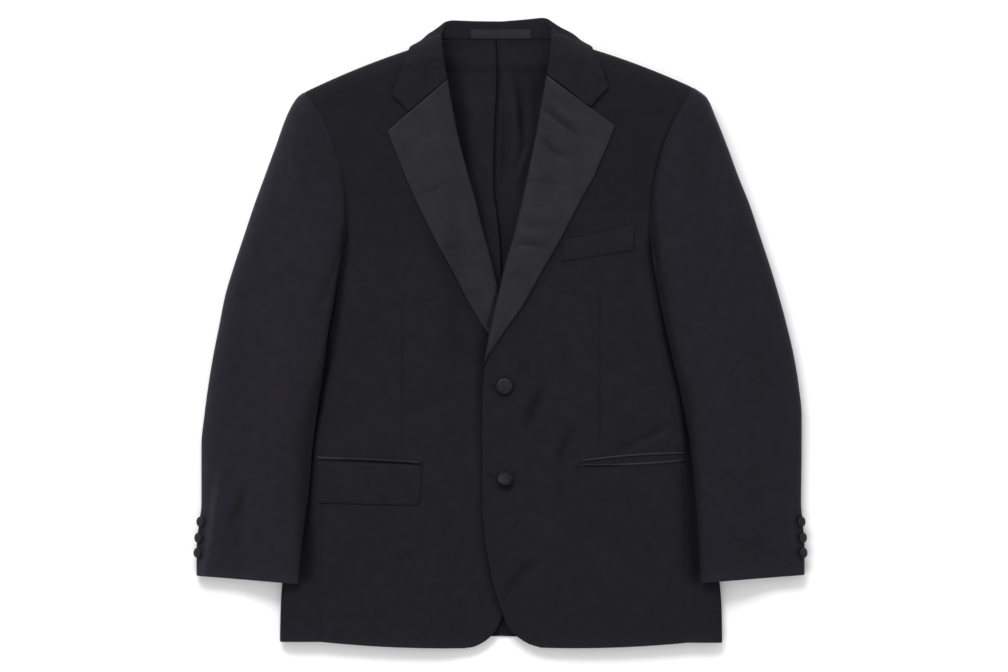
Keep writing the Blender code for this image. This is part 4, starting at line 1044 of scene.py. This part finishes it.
def buildBody():
    grids, normals = shellGrids()
    for (name, side), grid in grids.items():
        facts = bodyPieces[name]
        normal = normals[name, side].copy()
        seams, free = allRound, ("firstRow",)
        if name == "front":
            seams = ("firstColumn" if side == "right" else "lastColumn", "lastRow")
            free = ("lastColumn" if side == "right" else "firstColumn", "firstRow")
        if name in ("front", "back"):
            levelShoulder(normal, grid)
            grid = grid.copy()
            grid[-1, 1:-1, 2] += cloth["seamGap"] / 3 * (1 if name == "front" else -1)
        lift, shade = bodyFinish(name, side, grid, normal, seams)
        lift = lift - softEdges(grid, seams, free)
        outer = inset(grid, normal, seams, cloth["seamGap"]) + normal * lift[..., None]
        piece = makeSheet(name + side.capitalize(), outer, outer - normal * cloth["wool"], "wool", shade)
        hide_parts(f"{facts['node']}_{side}")
        dress(piece)


def dress(piece):
    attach(piece, "root")


# Lapels and collar, folded over
folded = {
    "lapelReturn": 12.0, "lapelSoft": 14.0, "lapelOver": 4.0, "lapelRoll": 2.0, "lapelClear": 1.1,
    "collarOver": 4.6, "collarUnder": 3.8, "collarFold": 4.0, "collarShade": 0.09, "wool": 2.0, "satin": 1.6,
}
lapelRows = {
    "left": table("foldX foldY edgeX edgeY", [
        (-20.6, -34, -17.6, -30), (-12.4, 10, 4.1, 3), (-4, 45, 24, 30.6), (3.5, 80, 49.8, 76.2),
        (14, 114.6, 71.8, 114.6), (25.9, 163.8, 95.6, 160.2), (33, 196, 109.2, 184.2),
        (44, 252, 123, 216), (54, 309.6, 136.8, 248.6),
    ]),
    "right": table("foldX foldY edgeX edgeY", [
        (-20, -20, -7, -24), (-9, 22, 15.8, 1.1), (2.9, 57, 37.8, 36.6), (10, 84, 57.6, 75),
        (18.6, 114, 79.6, 114.6), (31, 163, 97.4, 150.6), (40.5, 196, 112.3, 184.2),
        (54, 250, 125, 215), (63.6, 304.8, 135.6, 243),
    ]),
}


def foldSections(seam, fold, fall, over):
    # A sheet turned over a fold: from its lower or hidden edge round to where it lies down
    out = unit(unit(seam - fold) + unit(fall - fold))
    up = fall - seam
    up = unit(up - out * np.sum(up * out, axis=-1, keepdims=True))
    below = fold + out * 0.85 * over - up * 0.92 * over
    above = fold + out * 0.85 * over + up * 0.92 * over
    return [
        seam, (seam + below) / 2, below,
        fold + out * 0.2 * over - up * 0.6 * over,
        fold,
        fold + out * 0.2 * over + up * 0.6 * over,
        above, (fall + above) / 2, fall,
    ]


def finer(sections, share):
    # Smooth columns through the sections, share from 0 to 1 over all of them
    sections = np.stack(sections, axis=1)
    knots = np.arange(sections.shape[1])
    at = np.asarray(share) * knots[-1]
    grid = np.zeros((len(sections), len(at), 3))
    for j in range(len(sections)):
        for k in range(3):
            grid[j, :, k] = smooth(knots, sections[j, :, k], at)
    return grid


def lapelGrid(side):
    rows = lapelRows[side]
    count = len(rows["foldX"])
    at = steps(104, 340) * (count - 1)
    line = {name: smooth(np.arange(count), values, at) for name, values in rows.items()}
    fold = np.column_stack([line["foldX"], line["foldY"]])
    edge = np.column_stack([line["edgeX"], line["edgeY"]])
    across = unit(edge - fold)
    reach = np.linalg.norm(edge - fold, axis=1)[:, None]
    fall = fold + across * np.minimum(folded["lapelSoft"], 0.5 * reach)
    seam = fold + across * np.minimum(folded["lapelReturn"], 0.9 * reach)

    def atHeight(plan, lift):
        return np.column_stack([plan, frontHeight(side, plan[:, 0], plan[:, 1]) + lift])

    above, rise = folded["lapelClear"] + folded["satin"], folded["lapelRoll"] / 2
    hidden = atHeight(seam, -folded["wool"] - above)
    turned = atHeight(fold, -folded["wool"] / 2)
    sections = foldSections(hidden, turned, atHeight(fall, above + rise), folded["lapelOver"])
    for share in np.linspace(0, 1, 8)[1:]:
        plan = fall + (edge - fall) * share
        sections.append(atHeight(plan, above + rise * (1 - ease(share * 1.4))))
    turn = np.linspace(0, 0.5, 26)
    lie = 0.5 + 0.5 * steps(38, 60)[1:]
    return finer(sections, np.concatenate([turn, lie]))


def buildLapel(side):
    grid = world(side, lapelGrid(side))
    if side == "right":
        grid = grid[::-1]
    normal = gridNormals(grid)
    lift, shade = creaseLift("lapels", grid[..., 0], grid[..., 1])
    still = away(grid, "lastColumn", 5) * away(grid, "firstColumn", 6, 13)
    still *= away(grid, "firstRow", 6) * away(grid, "lastRow", 6)
    lift = lift * still - softEdges(grid, (), ("lastColumn", "firstRow", "lastRow"))
    outer = grid + normal * lift[..., None]
    inner = grid - normal * cloth["satin"]
    piece = makeSheet("lapel" + side.capitalize(), outer, inner, "satin", shade * still)
    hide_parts(f"lapel_{side}")
    dress(piece)
    return outer


collarBackColumns = "foldX foldY foldZ seamX seamY seamZ fallX fallY fallZ edgeX edgeY edgeZ"
collarBack = {
    "left": table(collarBackColumns, [
        (0, 375.2, 4, 0, 352.8, 8, 0, 352, 0, 0, 330, 0),
        (28, 377.4, 4, 28, 352.8, 8.2, 30, 352, 0, 31, 330.5, 0),
        (49, 379.4, 6.5, 54, 353, 9.5, 60, 357, 0, 68, 331, 0),
        (57.8, 374, 13, 70, 353.4, 15, 80, 362.5, 4.5, 96, 338, 1.2),
        (60.5, 361, 23, 82, 352.6, 22, 93, 353.4, 17, 108, 345.6, 16),
    ]),
    "right": table(collarBackColumns, [
        (0, 375.2, 4, 0, 352.8, 8, 0, 352, 0, 0, 330, 0),
        (32, 375.6, 4, 30, 352.8, 8.2, 31, 352, 0, 32, 330.5, 0),
        (58, 376.4, 6.5, 56, 353, 9.5, 63, 357, 0, 69, 331, 0),
        (67.8, 371.6, 13, 71, 353.4, 15, 86, 360, 4.5, 96, 338, 1.2),
        (71, 359, 23, 82, 352.6, 22, 93, 353.4, 17, 108, 345.6, 16),
    ]),
}
collarFrontColumns = "foldX foldY seamX seamY fallX fallY edgeX edgeY"
collarFront = {
    "left": table(collarFrontColumns, [
        (60, 347, 80.5, 346, 95, 344, 112, 338), (58.5, 334, 72.5, 334, 97, 328, 120, 321),
        (56.5, 321, 65.5, 323, 98, 303, 125.5, 304), (55.2, 312, 60.5, 309, 106.4, 272.8, 128.8, 295.4),
    ]),
    "right": table(collarFrontColumns, [
        (70.5, 346, 82, 345, 96, 344, 112, 338), (69, 333, 79, 334, 99, 326, 119, 319),
        (66.5, 317, 74, 319, 100, 298, 125, 300), (64.6, 307, 71, 306, 110.3, 267.2, 131.3, 287),
    ]),
}


def collarGuides(side):
    back, front = collarBack[side], collarFront[side]
    count = len(back["foldX"]) + len(front["foldX"])
    end = 1 - steps(8, 10, (0.6, 1.4))[1:]
    at = np.concatenate([np.linspace(0, count - 1.35, 60), count - 1 - 0.35 * end])
    guides = {}
    for part in ("seam", "fold", "fall", "edge"):
        x = np.concatenate([back[part + "X"], front[part + "X"]])
        y = np.concatenate([back[part + "Y"], front[part + "Y"]])
        low, high = -folded["collarUnder"], folded["collarOver"]
        lift = {"seam": low, "fold": (low + high) / 2, "fall": high, "edge": high}[part]
        over = frontHeight(side, front[part + "X"], front[part + "Y"]) + lift
        z = np.concatenate([back[part + "Z"], over])
        line = [smooth(np.arange(count), values, at) for values in (x, y, z)]
        guides[part] = world(side, np.column_stack(line))
    return guides


def buildCollar():
    right, left = collarGuides("right"), collarGuides("left")
    guides = {part: np.concatenate([left[part][::-1], right[part][1:]]) for part in left}
    sections = foldSections(guides["seam"], guides["fold"], guides["fall"], folded["collarFold"])
    sections += [guides["fall"] + (guides["edge"] - guides["fall"]) * share for share in (0.34, 0.67, 1)]
    share = np.concatenate([np.linspace(0, 8 / 11, 34)[:-1], 8 / 11 + 3 / 11 * steps(12, 24, (0.6, 1.4))])
    grid = finer(sections, share)
    normal = gridNormals(grid)
    lift, shade = creaseLift("collar", grid[..., 0], grid[..., 1])
    lift *= ease((normal[..., 2] - 0.2) / 0.5) * away(grid, "lastColumn", 6)
    lift *= away(grid, "firstRow", 8) * away(grid, "lastRow", 8)
    lift -= softEdges(grid, (), everyEdge)
    outer = grid + normal * lift[..., None]
    # Painted shade over the whole collar
    shade += folded["collarShade"]
    piece = makeSheet("collarFolded", outer, grid - normal * cloth["wool"], "wool", shade)
    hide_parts("collar")
    dress(piece)
    return outer.reshape(-1, 3)


# Back lining with its pleat, and the label on the stand
lining = {
    "top": 352.4, "bottom": 22.0, "rows": 110, "level": 2.8, "layer": 2.6,
    "fold": 1.3, "foldOffset": 28.0, "foldHalf": 9.0, "neckLift": 1.6, "sideLift": 3.0, "pleatShade": 0.6,
}
pleatX = table("y x", [(-30, 2), (90, 0), (144, -5.2), (176, -9), (245, -7.8), (310, -5), (360, -6.5)])
pleatSection = table("offset level", [
    (-28, 1.3), (-14, 2), (-3, 2), (-0.9, 1.86), (0, 1.5), (-0.9, 1.14), (-3, 1), (-9, 1), (-12, 1),
    (-14.1, 0.86), (-15, 0.5), (-14.1, 0.14), (-12, 0), (3, 0),
])
liningHalf = table("y x", [(-30, 26), (40, 34), (120, 50), (200, 66), (290, 80), (340, 78), (352.4, 76)])


def buildLining():
    sections, shades = [], []
    for y in np.linspace(lining["bottom"], lining["top"], lining["rows"] + 1):
        half = float(read(liningHalf, "x", y))
        pleat = float(read(pleatX, "x", y))
        rest = np.linspace(pleat + 10, half, 7)
        x = np.array([-half, -0.75 * half, *(pleat + pleatSection["offset"]), *rest])
        level = np.array([0, 0, *pleatSection["level"], *(0.0 for _ in rest)])
        knots = np.arange(len(x))
        at = np.linspace(0, len(x) - 1, 5 * (len(x) - 1) + 1)
        x, level = smooth(knots, x, at), smooth(knots, level, at)
        base = backHeight("left", np.abs(x), np.full(len(x), y)) + lining["level"]
        base += lining["neckLift"] * ease((y - 285) / 30)
        base += lining["sideLift"] * ease((np.abs(x) - 44) / 14) * ease((y - 315) / 20)
        apart = (x - pleat - lining["foldOffset"]) / lining["foldHalf"]
        base += lining["fold"] * np.exp(-apart ** 2) * ease((y - 60) / 120) * (1 - ease((y - 270) / 60))
        line = np.column_stack([x, np.full(len(x), y), base + level * lining["layer"]])
        lift, shade = creaseLift("lining", line[:, 0], line[:, 1])
        upper = ((at <= 6) | (at >= 15)) * ease((346 - y) / 20)
        line[:, 2] += lift * upper
        # Painted shadow just beyond the pleat's folded edge
        beyond = (line[:, 0] - pleat - 1.5) / 3.2
        dark = lining["pleatShade"] * np.exp(-beyond ** 2) * (at > 13) * ease((338 - y) / 40)
        sections.append(line)
        shades.append(shade * upper + dark)
    grid = np.array(sections)
    half = gridNormals(grid) * cloth["lining"] / 2
    piece = makeSheet("liningBack", grid + half, grid - half, "lining", np.array(shades))
    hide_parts("lining_back")
    dress(piece)


label = {
    "half": 36.0, "thick": 0.6, "lowY": 354.0, "highY": 365.6, "level": 8.8, "crown": 0.25,
    "reach": 2.6, "rounds": 4,
}


def buildLabel(stand):
    x = np.linspace(-label["half"], label["half"], 49)
    rows = np.linspace(0, 1, 13)
    grid = np.zeros((len(rows), len(x), 3))
    grid[..., 0] = x
    grid[..., 1] = (label["lowY"] + (label["highY"] - label["lowY"]) * rows)[:, None] + 0.25 * np.sin(x / 9.0)
    puff = label["crown"] * np.sin(math.pi * rows)[:, None] + 0.12 * np.sin(x / 5.0 + 1)
    near = stand[(np.abs(stand[:, 0]) < label["half"] + 6) & (stand[:, 1] > 345) & (stand[:, 2] > 3)]
    for row in grid:
        for point in row:
            apart = np.hypot(near[:, 0] - point[0], near[:, 1] - point[1])
            close = near[apart < label["reach"]]
            point[2] = close[:, 2].max() if len(close) else label["level"]
    height = grid[..., 2]
    for _ in range(label["rounds"]):
        height = (height + np.roll(height, 1, axis=1) + np.roll(height, -1, axis=1)) / 3
    grid[..., 2] = height + label["thick"] * 0.6 + puff
    piece = makeSheet("labelBare", grid, grid - np.array([0, 0, label["thick"]]), "label")
    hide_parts("neck_label")
    dress(piece)
    return grid


# Pockets on the fronts: corners in (x, y) with x towards that side, and the jets' painted shade as (share of
# the width, shade)
pockets = {
    "chestWelt": {
        "node": "chest_welt", "side": "left", "material": "wool", "flat": (0.087, 0.028),
        "thick": 1.4, "puff": 0.35, "corners": ((76, 112.2), (160, 129.6), (158.6, 100.4), (73, 86.4)),
    },
    "jetUpperLeft": {
        "node": "pocket_jet_upper_left", "side": "left", "material": "satin", "flat": (0.124, 0.010),
        "area": 0.0005, "thick": 1.2, "puff": 0.5, "bow": 1.8, "under": 0.5,
        "corners": ((98, -151.2), (221, -142), (221, -145.2), (98, -154.6)),
        "tone": ((0, 0.25), (0.1, 0.1), (0.6, 0.12), (1, 0.05)),
    },
    "jetLowerLeft": {
        "node": "pocket_jet_lower_left", "side": "left", "material": "satin", "flat": (0.124, 0.010),
        "area": 0.0005, "thick": 1.2, "puff": 0.5, "bow": -1.9, "under": 0.2,
        "corners": ((98, -156.4), (221, -150.6), (221, -154.4), (98, -160)),
        "tone": ((0, 0.8), (0.25, 0.78), (0.42, 0.25), (0.7, 0.15), (1, 0.3)),
    },
    "jetRight": {
        "node": "pocket_jet_right", "side": "right", "material": "satin", "flat": (0.125, 0.010),
        "area": 0.0006, "thick": 1.4, "puff": 0.5, "bow": 0.4, "under": 0.1,
        "corners": ((96.5, -153.2), (220.5, -147.6), (220.5, -151.8), (96.5, -157.4)),
        "tone": ((0, 0.5), (0.06, 0.5), (0.14, 0.8), (0.68, 0.8), (0.8, 0.36), (1, 0.3)),
    },
    "flapRight": {
        "node": "pocket_flap_right", "side": "right", "material": "wool", "flat": (0.126, 0.05),
        "thick": 1.6, "puff": 0.3, "corner": 7.0,
        "corners": ((96, -158.2), (220.5, -153), (220.5, -203), (97.5, -206)),
    },
}
laidGap = 0.6


def buildPocket(name):
    facts = pockets[name]
    side = facts["side"]
    a, b, c, d = (np.array(point, float) for point in facts["corners"])
    width, height = np.linalg.norm(b - a), np.linalg.norm(d - a)
    near = tuple(k * min(1, height / 12) for k in (0.5, 1.1, 2.2))
    u = steps(48, width)[None, :, None]
    v = steps(max(4, int(height / 2.5)), height, near)[:, None, None]
    plan = (1 - v) * ((1 - u) * d + u * c) + v * ((1 - u) * a + u * b)
    plan[..., 1] += facts.get("bow", 0) * np.sin(math.pi * u[..., 0])
    if "corner" in facts:
        close = np.clip(1 - u[0, :, 0] * width / facts["corner"], 0, 1)
        plan[..., 1] += facts["corner"] * (1 - np.sqrt(1 - close * close)) * (1 - ease(v[..., 0] * 3))
    x, y = plan[..., 0], plan[..., 1]
    lower = world(side, np.dstack([x, y, frontHeight(side, x, y) + laidGap]))
    if side == "right":
        lower = lower[:, ::-1]
    normals = gridNormals(lower)
    puff = facts["puff"] * np.sin(math.pi * np.clip(v[..., 0], 0, 1)) * np.ones(x.shape)
    shade = np.zeros(x.shape)
    if facts["material"] == "satin":
        puff = puff - 0.9 * (1 - ease(v[..., 0] * 1.6))
        # Painted shade along each jet, and more at its lower edge
        tone = smooth(*np.array(facts["tone"]).T, u[..., 0])
        shade = tone + facts["under"] * (1 - tone) * (1 - ease(v[..., 0] * 1.8))
    sink = softEdges(lower, (), everyEdge) * 0.8
    # Painted shade beside the sleeve, as on the fronts
    dark = besideShade(side, lower)
    drop = creaseLift("fronts", lower[..., 0], lower[..., 1])[0] - dark * 3
    if side == "right":
        shade = shade[:, ::-1]
    shade = shade + dark
    outer = lower + normals * (facts["thick"] - 0.4 + puff + drop - sink)[..., None]
    under = lower + normals * (drop - 0.3)[..., None]
    piece = makeSheet(name, outer, under, facts["material"], shade)
    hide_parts(facts["node"])
    dress(piece)
    return outer


# Covered buttons
# The front buttons' 'tones' and each kind's 'ring' are painted shade
buttons = {
    "front": {
        "radius": 10.0, "height": 4.2, "pulls": 18, "ring": (0.4, 9, 3.2),
        "places": {"upper": (4.2, -63.0), "lower": (4.8, -174.9)},
        "axes": {"upper": (0.04, 0.06, 1), "lower": (0.1, 0.6, 1)}, "tones": {"upper": 0.2, "lower": 0.42},
    },
    "cuff": {
        "radius": 6.2, "height": 3.6, "pulls": 14, "ring": (0.9, 6, 2.6),
        "y": (-226.2, -245.4, -263.4), "gap": 0.3, "lean": math.radians(45),
    },
}
buttonCover = {
    "around": 64, "draw": 0.035, "wave": 0.012, "cloud": 0.22, "under": 0.6, "palest": -0.3, "darkest": 0.92,
}
# Share of the radius and of the height, from the foot to the crown
buttonProfile = [
    (0.3, 0.0), (0.52, 0.02), (0.6, 0.1), (0.66, 0.18), (0.82, 0.2), (0.94, 0.25), (0.99, 0.33), (1.0, 0.43),
    (0.985, 0.56), (0.94, 0.71), (0.86, 0.83), (0.73, 0.91), (0.57, 0.962), (0.38, 0.985), (0.18, 0.997),
]


def coveredButton(name, kind, place, axis, tone=0.0):
    # A domed shell under satin, drawn in below the rim
    radius, height, pulls = (buttons[kind][fact] for fact in ("radius", "height", "pulls"))
    axis = unit(np.array(axis, float))
    across = unit(np.cross(axis, (0, 1, 0)))
    other = np.cross(axis, across)
    around, rings = buttonCover["around"], len(buttonProfile)
    angles = np.arange(around) * 2 * math.pi / around
    spoke = np.cos(angles)[:, None] * across + np.sin(angles)[:, None] * other
    points = [[place + axis * 0.02]]
    for share, level in buttonProfile:
        draw = buttonCover["draw"] * np.sin(angles * pulls) * np.exp(-((level - 0.4) / 0.16) ** 2)
        wave = buttonCover["wave"] * np.sin(angles * 3 + 1.0) * share
        out, rise = radius * share * (1 + draw), height * (level + wave)
        points.append(place + axis * rise[:, None] + spoke * out[:, None])
    points = np.concatenate([*points, [place + axis * height]])
    faces = []
    for k in range(around):
        after = (k + 1) % around
        faces.append((0, 1 + after, 1 + k))
        for ring in range(rings - 1):
            low, high = 1 + ring * around, 1 + (ring + 1) * around
            faces.append((low + k, low + after, high + after, high + k))
        faces.append((1 + (rings - 1) * around + k, 1 + (rings - 1) * around + after, len(points) - 1))
    local = points - place
    right, up, rise = local @ across, local @ other, local @ axis
    uv = np.stack([right, up], axis=-1) * mm
    turn, out = np.arctan2(up, right), np.hypot(right, up)
    cloud = np.sin(out * 0.9 + 2 * turn + pulls) * np.cos(out * 0.55 - 3 * turn)
    cloud += 0.6 * np.sin(out * 1.7 + turn)
    # Painted shade below the rim, and over the whole button by its tone; the cloud is a random mottle in the
    # satin
    under = ease((0.5 * height - rise) / (0.25 * height))
    shade = tone + buttonCover["cloud"] * cloud * ease((radius - out) / 2) + buttonCover["under"] * under
    shade = np.clip(shade, buttonCover["palest"], buttonCover["darkest"])
    piece = makeMesh(name, points * mm, faces, "satin", uv, shade)
    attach(piece, "root")
    return piece


def buildButtons():
    facts = buttons["front"]
    for name, (x, y) in facts["places"].items():
        place = np.array([x, y, float(frontHeight("left", x, y)) + laidGap])
        piece = coveredButton(name + "Button", "front", place, facts["axes"][name], facts["tones"][name])
        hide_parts(f"front_button_{name}")
    facts = buttons["cuff"]
    lean = facts["lean"]
    for side in ("right", "left"):
        tipY, endY = frontRows[side]["outerY"][-1], sleeve["cuff"][side][1][1]
        for number, y in enumerate(facts["y"], 1):
            edge = float(read(outerEdge[side], "x", y))
            top, width = sleeveTop((y - tipY) / (endY - tipY))
            middle = sleeve["edge"] * top
            x = edge - width * (1 - math.cos(lean))
            point = np.array([x, y, middle + (top - middle) * math.sin(lean)])
            axis = unit(np.array([math.cos(lean) / width, 0, math.sin(lean) / (top - middle)]))
            place = world(side, point + axis * facts["gap"])
            name = f"cuffButton{side.capitalize()}{number}"
            piece = coveredButton(name, "cuff", place, world(side, axis))
            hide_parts(f"cuff_button_{side}_{number}")


# Stitches, set along a path by Geometry Nodes
def stitchTree():
    tree = bpy.data.node_groups.new("stitchLine", "GeometryNodeTree")
    face = tree.interface
    face.new_socket("Path", in_out="INPUT", socket_type="NodeSocketGeometry")
    for name in ("Spacing", "Length", "Thickness", "Turn"):
        face.new_socket(name, in_out="INPUT", socket_type="NodeSocketFloat")
    face.new_socket("Thread", in_out="INPUT", socket_type="NodeSocketMaterial")
    face.new_socket("Stitches", in_out="OUTPUT", socket_type="NodeSocketGeometry")
    start = node(tree, "NodeGroupInput")
    end = node(tree, "NodeGroupOutput")
    curve = node(tree, "GeometryNodeMeshToCurve")
    even = node(tree, "GeometryNodeCurveToPoints", {"mode": "LENGTH"})
    bead = node(tree, "GeometryNodeMeshUVSphere", Segments=8, Rings=6, Radius=0.5)
    shape = node(tree, "ShaderNodeCombineXYZ")
    turned = node(tree, "ShaderNodeCombineXYZ")
    spin = node(tree, "FunctionNodeRotateRotation", {"rotation_space": "LOCAL"})
    toRotation = node(tree, "FunctionNodeEulerToRotation")
    place = node(tree, "GeometryNodeInstanceOnPoints")
    real = node(tree, "GeometryNodeRealizeInstances")
    shade = node(tree, "GeometryNodeSetMaterial")
    wires = [
        (start, "Path", curve, "Mesh"), (curve, "Curve", even, "Curve"), (start, "Spacing", even, "Length"),
        (even, "Points", place, "Points"), (even, "Rotation", spin, "Rotation"), (start, "Turn", turned, "Y"),
        (turned, "Vector", toRotation, "Euler"), (toRotation, "Rotation", spin, "Rotate By"),
        (spin, "Rotation", place, "Rotation"), (bead, "Mesh", place, "Instance"),
        (start, "Thickness", shape, "X"), (start, "Thickness", shape, "Y"), (start, "Length", shape, "Z"),
        (shape, "Vector", place, "Scale"), (place, "Instances", real, "Geometry"),
        (real, "Geometry", shade, "Geometry"), (start, "Thread", shade, "Material"),
        (shade, "Geometry", end, "Stitches"),
    ]
    for wire in wires:
        link(tree, *wire)
    return tree


stitches = {
    "edge": {"spacing": 5.0, "length": 1.5, "thickness": 0.34, "turn": 0.0},
    "fell": {"spacing": 2.4, "length": 1.3, "thickness": 0.3, "turn": 0.9},
    "purl": {"spacing": 0.55, "length": 1.9, "thickness": 0.55, "turn": math.pi / 2},
    "tack": {"spacing": 0.5, "length": 2.0, "thickness": 0.5, "turn": math.pi / 2},
}


def sew(name, kind, paths, tree):
    mesh = bpy.data.meshes.new(name)
    points, edges = [], []
    for path in paths:
        first = len(points)
        points += (np.asarray(path) * mm).tolist()
        edges += [(first + k, first + k + 1) for k in range(len(path) - 1)]
    mesh.from_pydata(points, edges, [])
    line = addObject(name + "Path", mesh)
    modifier = line.modifiers.new("stitches", "NODES")
    modifier.node_group = tree
    facts = stitches[kind]
    values = {
        "Spacing": facts["spacing"] * mm, "Length": facts["length"] * mm,
        "Thickness": facts["thickness"] * mm, "Turn": facts["turn"], "Thread": materials["thread"],
    }
    for socket in tree.interface.items_tree:
        if socket.item_type == "SOCKET" and socket.in_out == "INPUT" and socket.name in values:
            modifier[socket.identifier] = values[socket.name]
    graph = bpy.context.evaluated_depsgraph_get()
    made = bpy.data.meshes.new_from_object(line.evaluated_get(graph))
    bpy.data.objects.remove(line, do_unlink=True)
    made.name = name
    piece = addObject(name, made)
    made.shade_smooth()
    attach(piece, "root")
    return piece


def onFront(side, points, lift):
    # Path on a front's finished face, from (x, y) with x towards that side
    points = np.asarray(points, float)
    place = world(side, np.column_stack([points, frontHeight(side, points[:, 0], points[:, 1])]))
    place[:, 2] += creaseLift("fronts", place[:, 0], place[:, 1])[0] + lift
    return place


buttonholes = {"upper": ((-14.0, -61.8), (3.5, -62.6), 0.9), "lower": ((-14.5, -168.6), (3.0, -171.6), 1.2)}


def buildButtonhole(name, tree):
    (x0, y0), (x1, y1), half = buttonholes[name]
    start, end = np.array([x0, y0]), np.array([x1, y1])
    way = unit(end - start)
    side = np.array([-way[1], way[0]])
    turns = np.linspace(math.pi / 2, 3 * math.pi / 2, 9)
    ring = [start + half * (way * math.cos(t) + side * math.sin(t)) for t in turns]
    ring += [end + half * (way * math.cos(t) + side * math.sin(t)) for t in turns + math.pi]
    ring.append(ring[0])
    path = onFront("left", evenly(ring, 90), 0.25)
    purl = sew(name + "ButtonholePurl", "purl", [path], tree)
    # A dark sheet between the two rows stands in for the slit's shade (painted shade)
    across = np.linspace(-0.5, 0.5, 5) * half
    down = np.linspace(0, 1, 21)
    plan = start + (end - start) * down[:, None, None] + side * across[None, :, None]
    height = frontHeight("left", plan[..., 0], plan[..., 1])
    height = height + creaseLift("fronts", plan[..., 0], plan[..., 1])[0] + 0.18
    grid = np.concatenate([plan, height[..., None]], axis=-1)[:, ::-1]
    slit = makeSheet(name + "ButtonholeSlit", grid, grid - np.array([0, 0, 0.5]), "thread")
    if gridNormals(grid)[0, 0, 2] < 0:
        slit.data.flip_normals()
    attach(slit, "root")


# Bar tacks at the pockets' ends: side, lift, path in (x, y), number of points
pocketTacks = [
    ("left", 0.4, [(96.0, -152.6), (94.2, -156.0), (94.4, -160.0), (95.6, -163.0)], 14),
    ("left", 0.4, [(92.4, -157.0), (90.8, -160.4), (90.2, -163.6)], 9),
    ("right", 0.6, [(95.2, -152.6), (95.2, -158.4)], 10),
]


def buildStitches(lapels, flap, welt, labelGrid):
    tree = stitchTree()
    edges = []
    for side, grid in lapels.items():
        normal = gridNormals(grid)
        k = int(np.argmin(np.abs(edgeDistance(grid, "lastColumn")[len(grid) // 2] - 2.2)))
        edges.append(grid[4:-4, k] + normal[4:-4, k] * 0.12)
    edges.append(flap[3, 4:-4] + np.array([0, 0, 0.15]))
    rows = frontRows["left"]
    at = np.linspace(1.0, 10.6, 160)
    index = np.arange(len(rows["bow"]))
    innerX = smooth(index, rows["innerX"], at) + 2.4
    innerY = smooth(index, rows["innerY"], at) + 1.0
    edges.append(onFront("left", np.column_stack([innerX, innerY]), 0.1))
    piece = sew("edgeStitches", "edge", edges, tree)
    fell = [labelGrid[k, 1:-1] + np.array([0, 0, 0.12]) for k in (1, -2)]
    fell += [welt[2:-2, k] + np.array([0, 0, 0.1]) for k in (1, -2)]
    piece = sew("fellStitches", "fell", fell, tree)
    tacks = [onFront(side, evenly(*way), lift) for side, lift, *way in pocketTacks]
    piece = sew("pocketTacks", "tack", tacks, tree)
    for name in buttonholes:
        buildButtonhole(name, tree)


buildBody()
print("body and sleeves made")
lapelGrids = {side: buildLapel(side) for side in ("right", "left")}
stand = buildCollar()
buildLining()
labelPoints = buildLabel(stand)
print("lapels, collar and lining made")
pocketGrids = {name: buildPocket(name) for name in pockets}
buildButtons()
buildStitches(lapelGrids, pocketGrids["flapRight"], pocketGrids["chestWelt"], labelPoints)
print("pockets, buttons and stitches made")

# Floor, light and camera
studio = {
    "floor": (0.90, 0.90, 0.90), "floorHalf": 30.0, "world": 0.78,
    "key": 113.0, "keyPlace": (-0.8, 2.6, 2.6), "keySize": (2.4, 1.2),
    "fill": 14.0, "fillPlace": (-0.6, -1.6, 3.2), "fillSize": (3.0, 2.0),
    "width": 1.2096, "centre": (0.0036, -0.0030), "level": 0.022, "lens": 300.0, "sensor": 36.0,
}


def buildStudio():
    floor = bpy.data.meshes.new("floor")
    size = studio["floorHalf"]
    corners = [(-size, -size, 0), (size, -size, 0), (size, size, 0), (-size, size, 0)]
    floor.from_pydata(corners, [], [(0, 1, 2, 3)])
    paint = bpy.data.materials.new("floorPaint")
    paint.use_nodes = True
    shader = paint.node_tree.nodes["Principled BSDF"]
    shader.inputs["Base Color"].default_value = (*studio["floor"], 1)
    shader.inputs["Roughness"].default_value = 0.9
    shader.inputs["Specular IOR Level"].default_value = 0.1
    floor.materials.append(paint)
    item = addObject("floor", floor)
    for name in ("key", "fill"):
        light = bpy.data.lights.new(name, "AREA")
        light.shape = "RECTANGLE"
        light.size, light.size_y = studio[name + "Size"]
        light.energy = studio[name]
        lamp = addObject(name, light)
        lamp.location = studio[name + "Place"]
        lamp.rotation_euler = lamp.location.to_track_quat("Z", "Y").to_euler()
    room = bpy.data.worlds.new("softRoom")
    room.use_nodes = True
    room.node_tree.nodes["Background"].inputs["Color"].default_value = (1, 1, 1, 1)
    room.node_tree.nodes["Background"].inputs["Strength"].default_value = studio["world"]
    bpy.context.scene.world = room
    camera = bpy.data.cameras.new("camera")
    camera.lens = studio["lens"]
    camera.sensor_width = studio["sensor"]
    camera.clip_end = 100.0
    eye = addObject("camera", camera)
    eye.location = (*studio["centre"], studio["level"] + studio["width"] * studio["lens"] / studio["sensor"])
    bpy.context.scene.camera = eye
    bpy.context.scene.view_settings.view_transform = "Standard"


buildStudio()
print("studio ready")
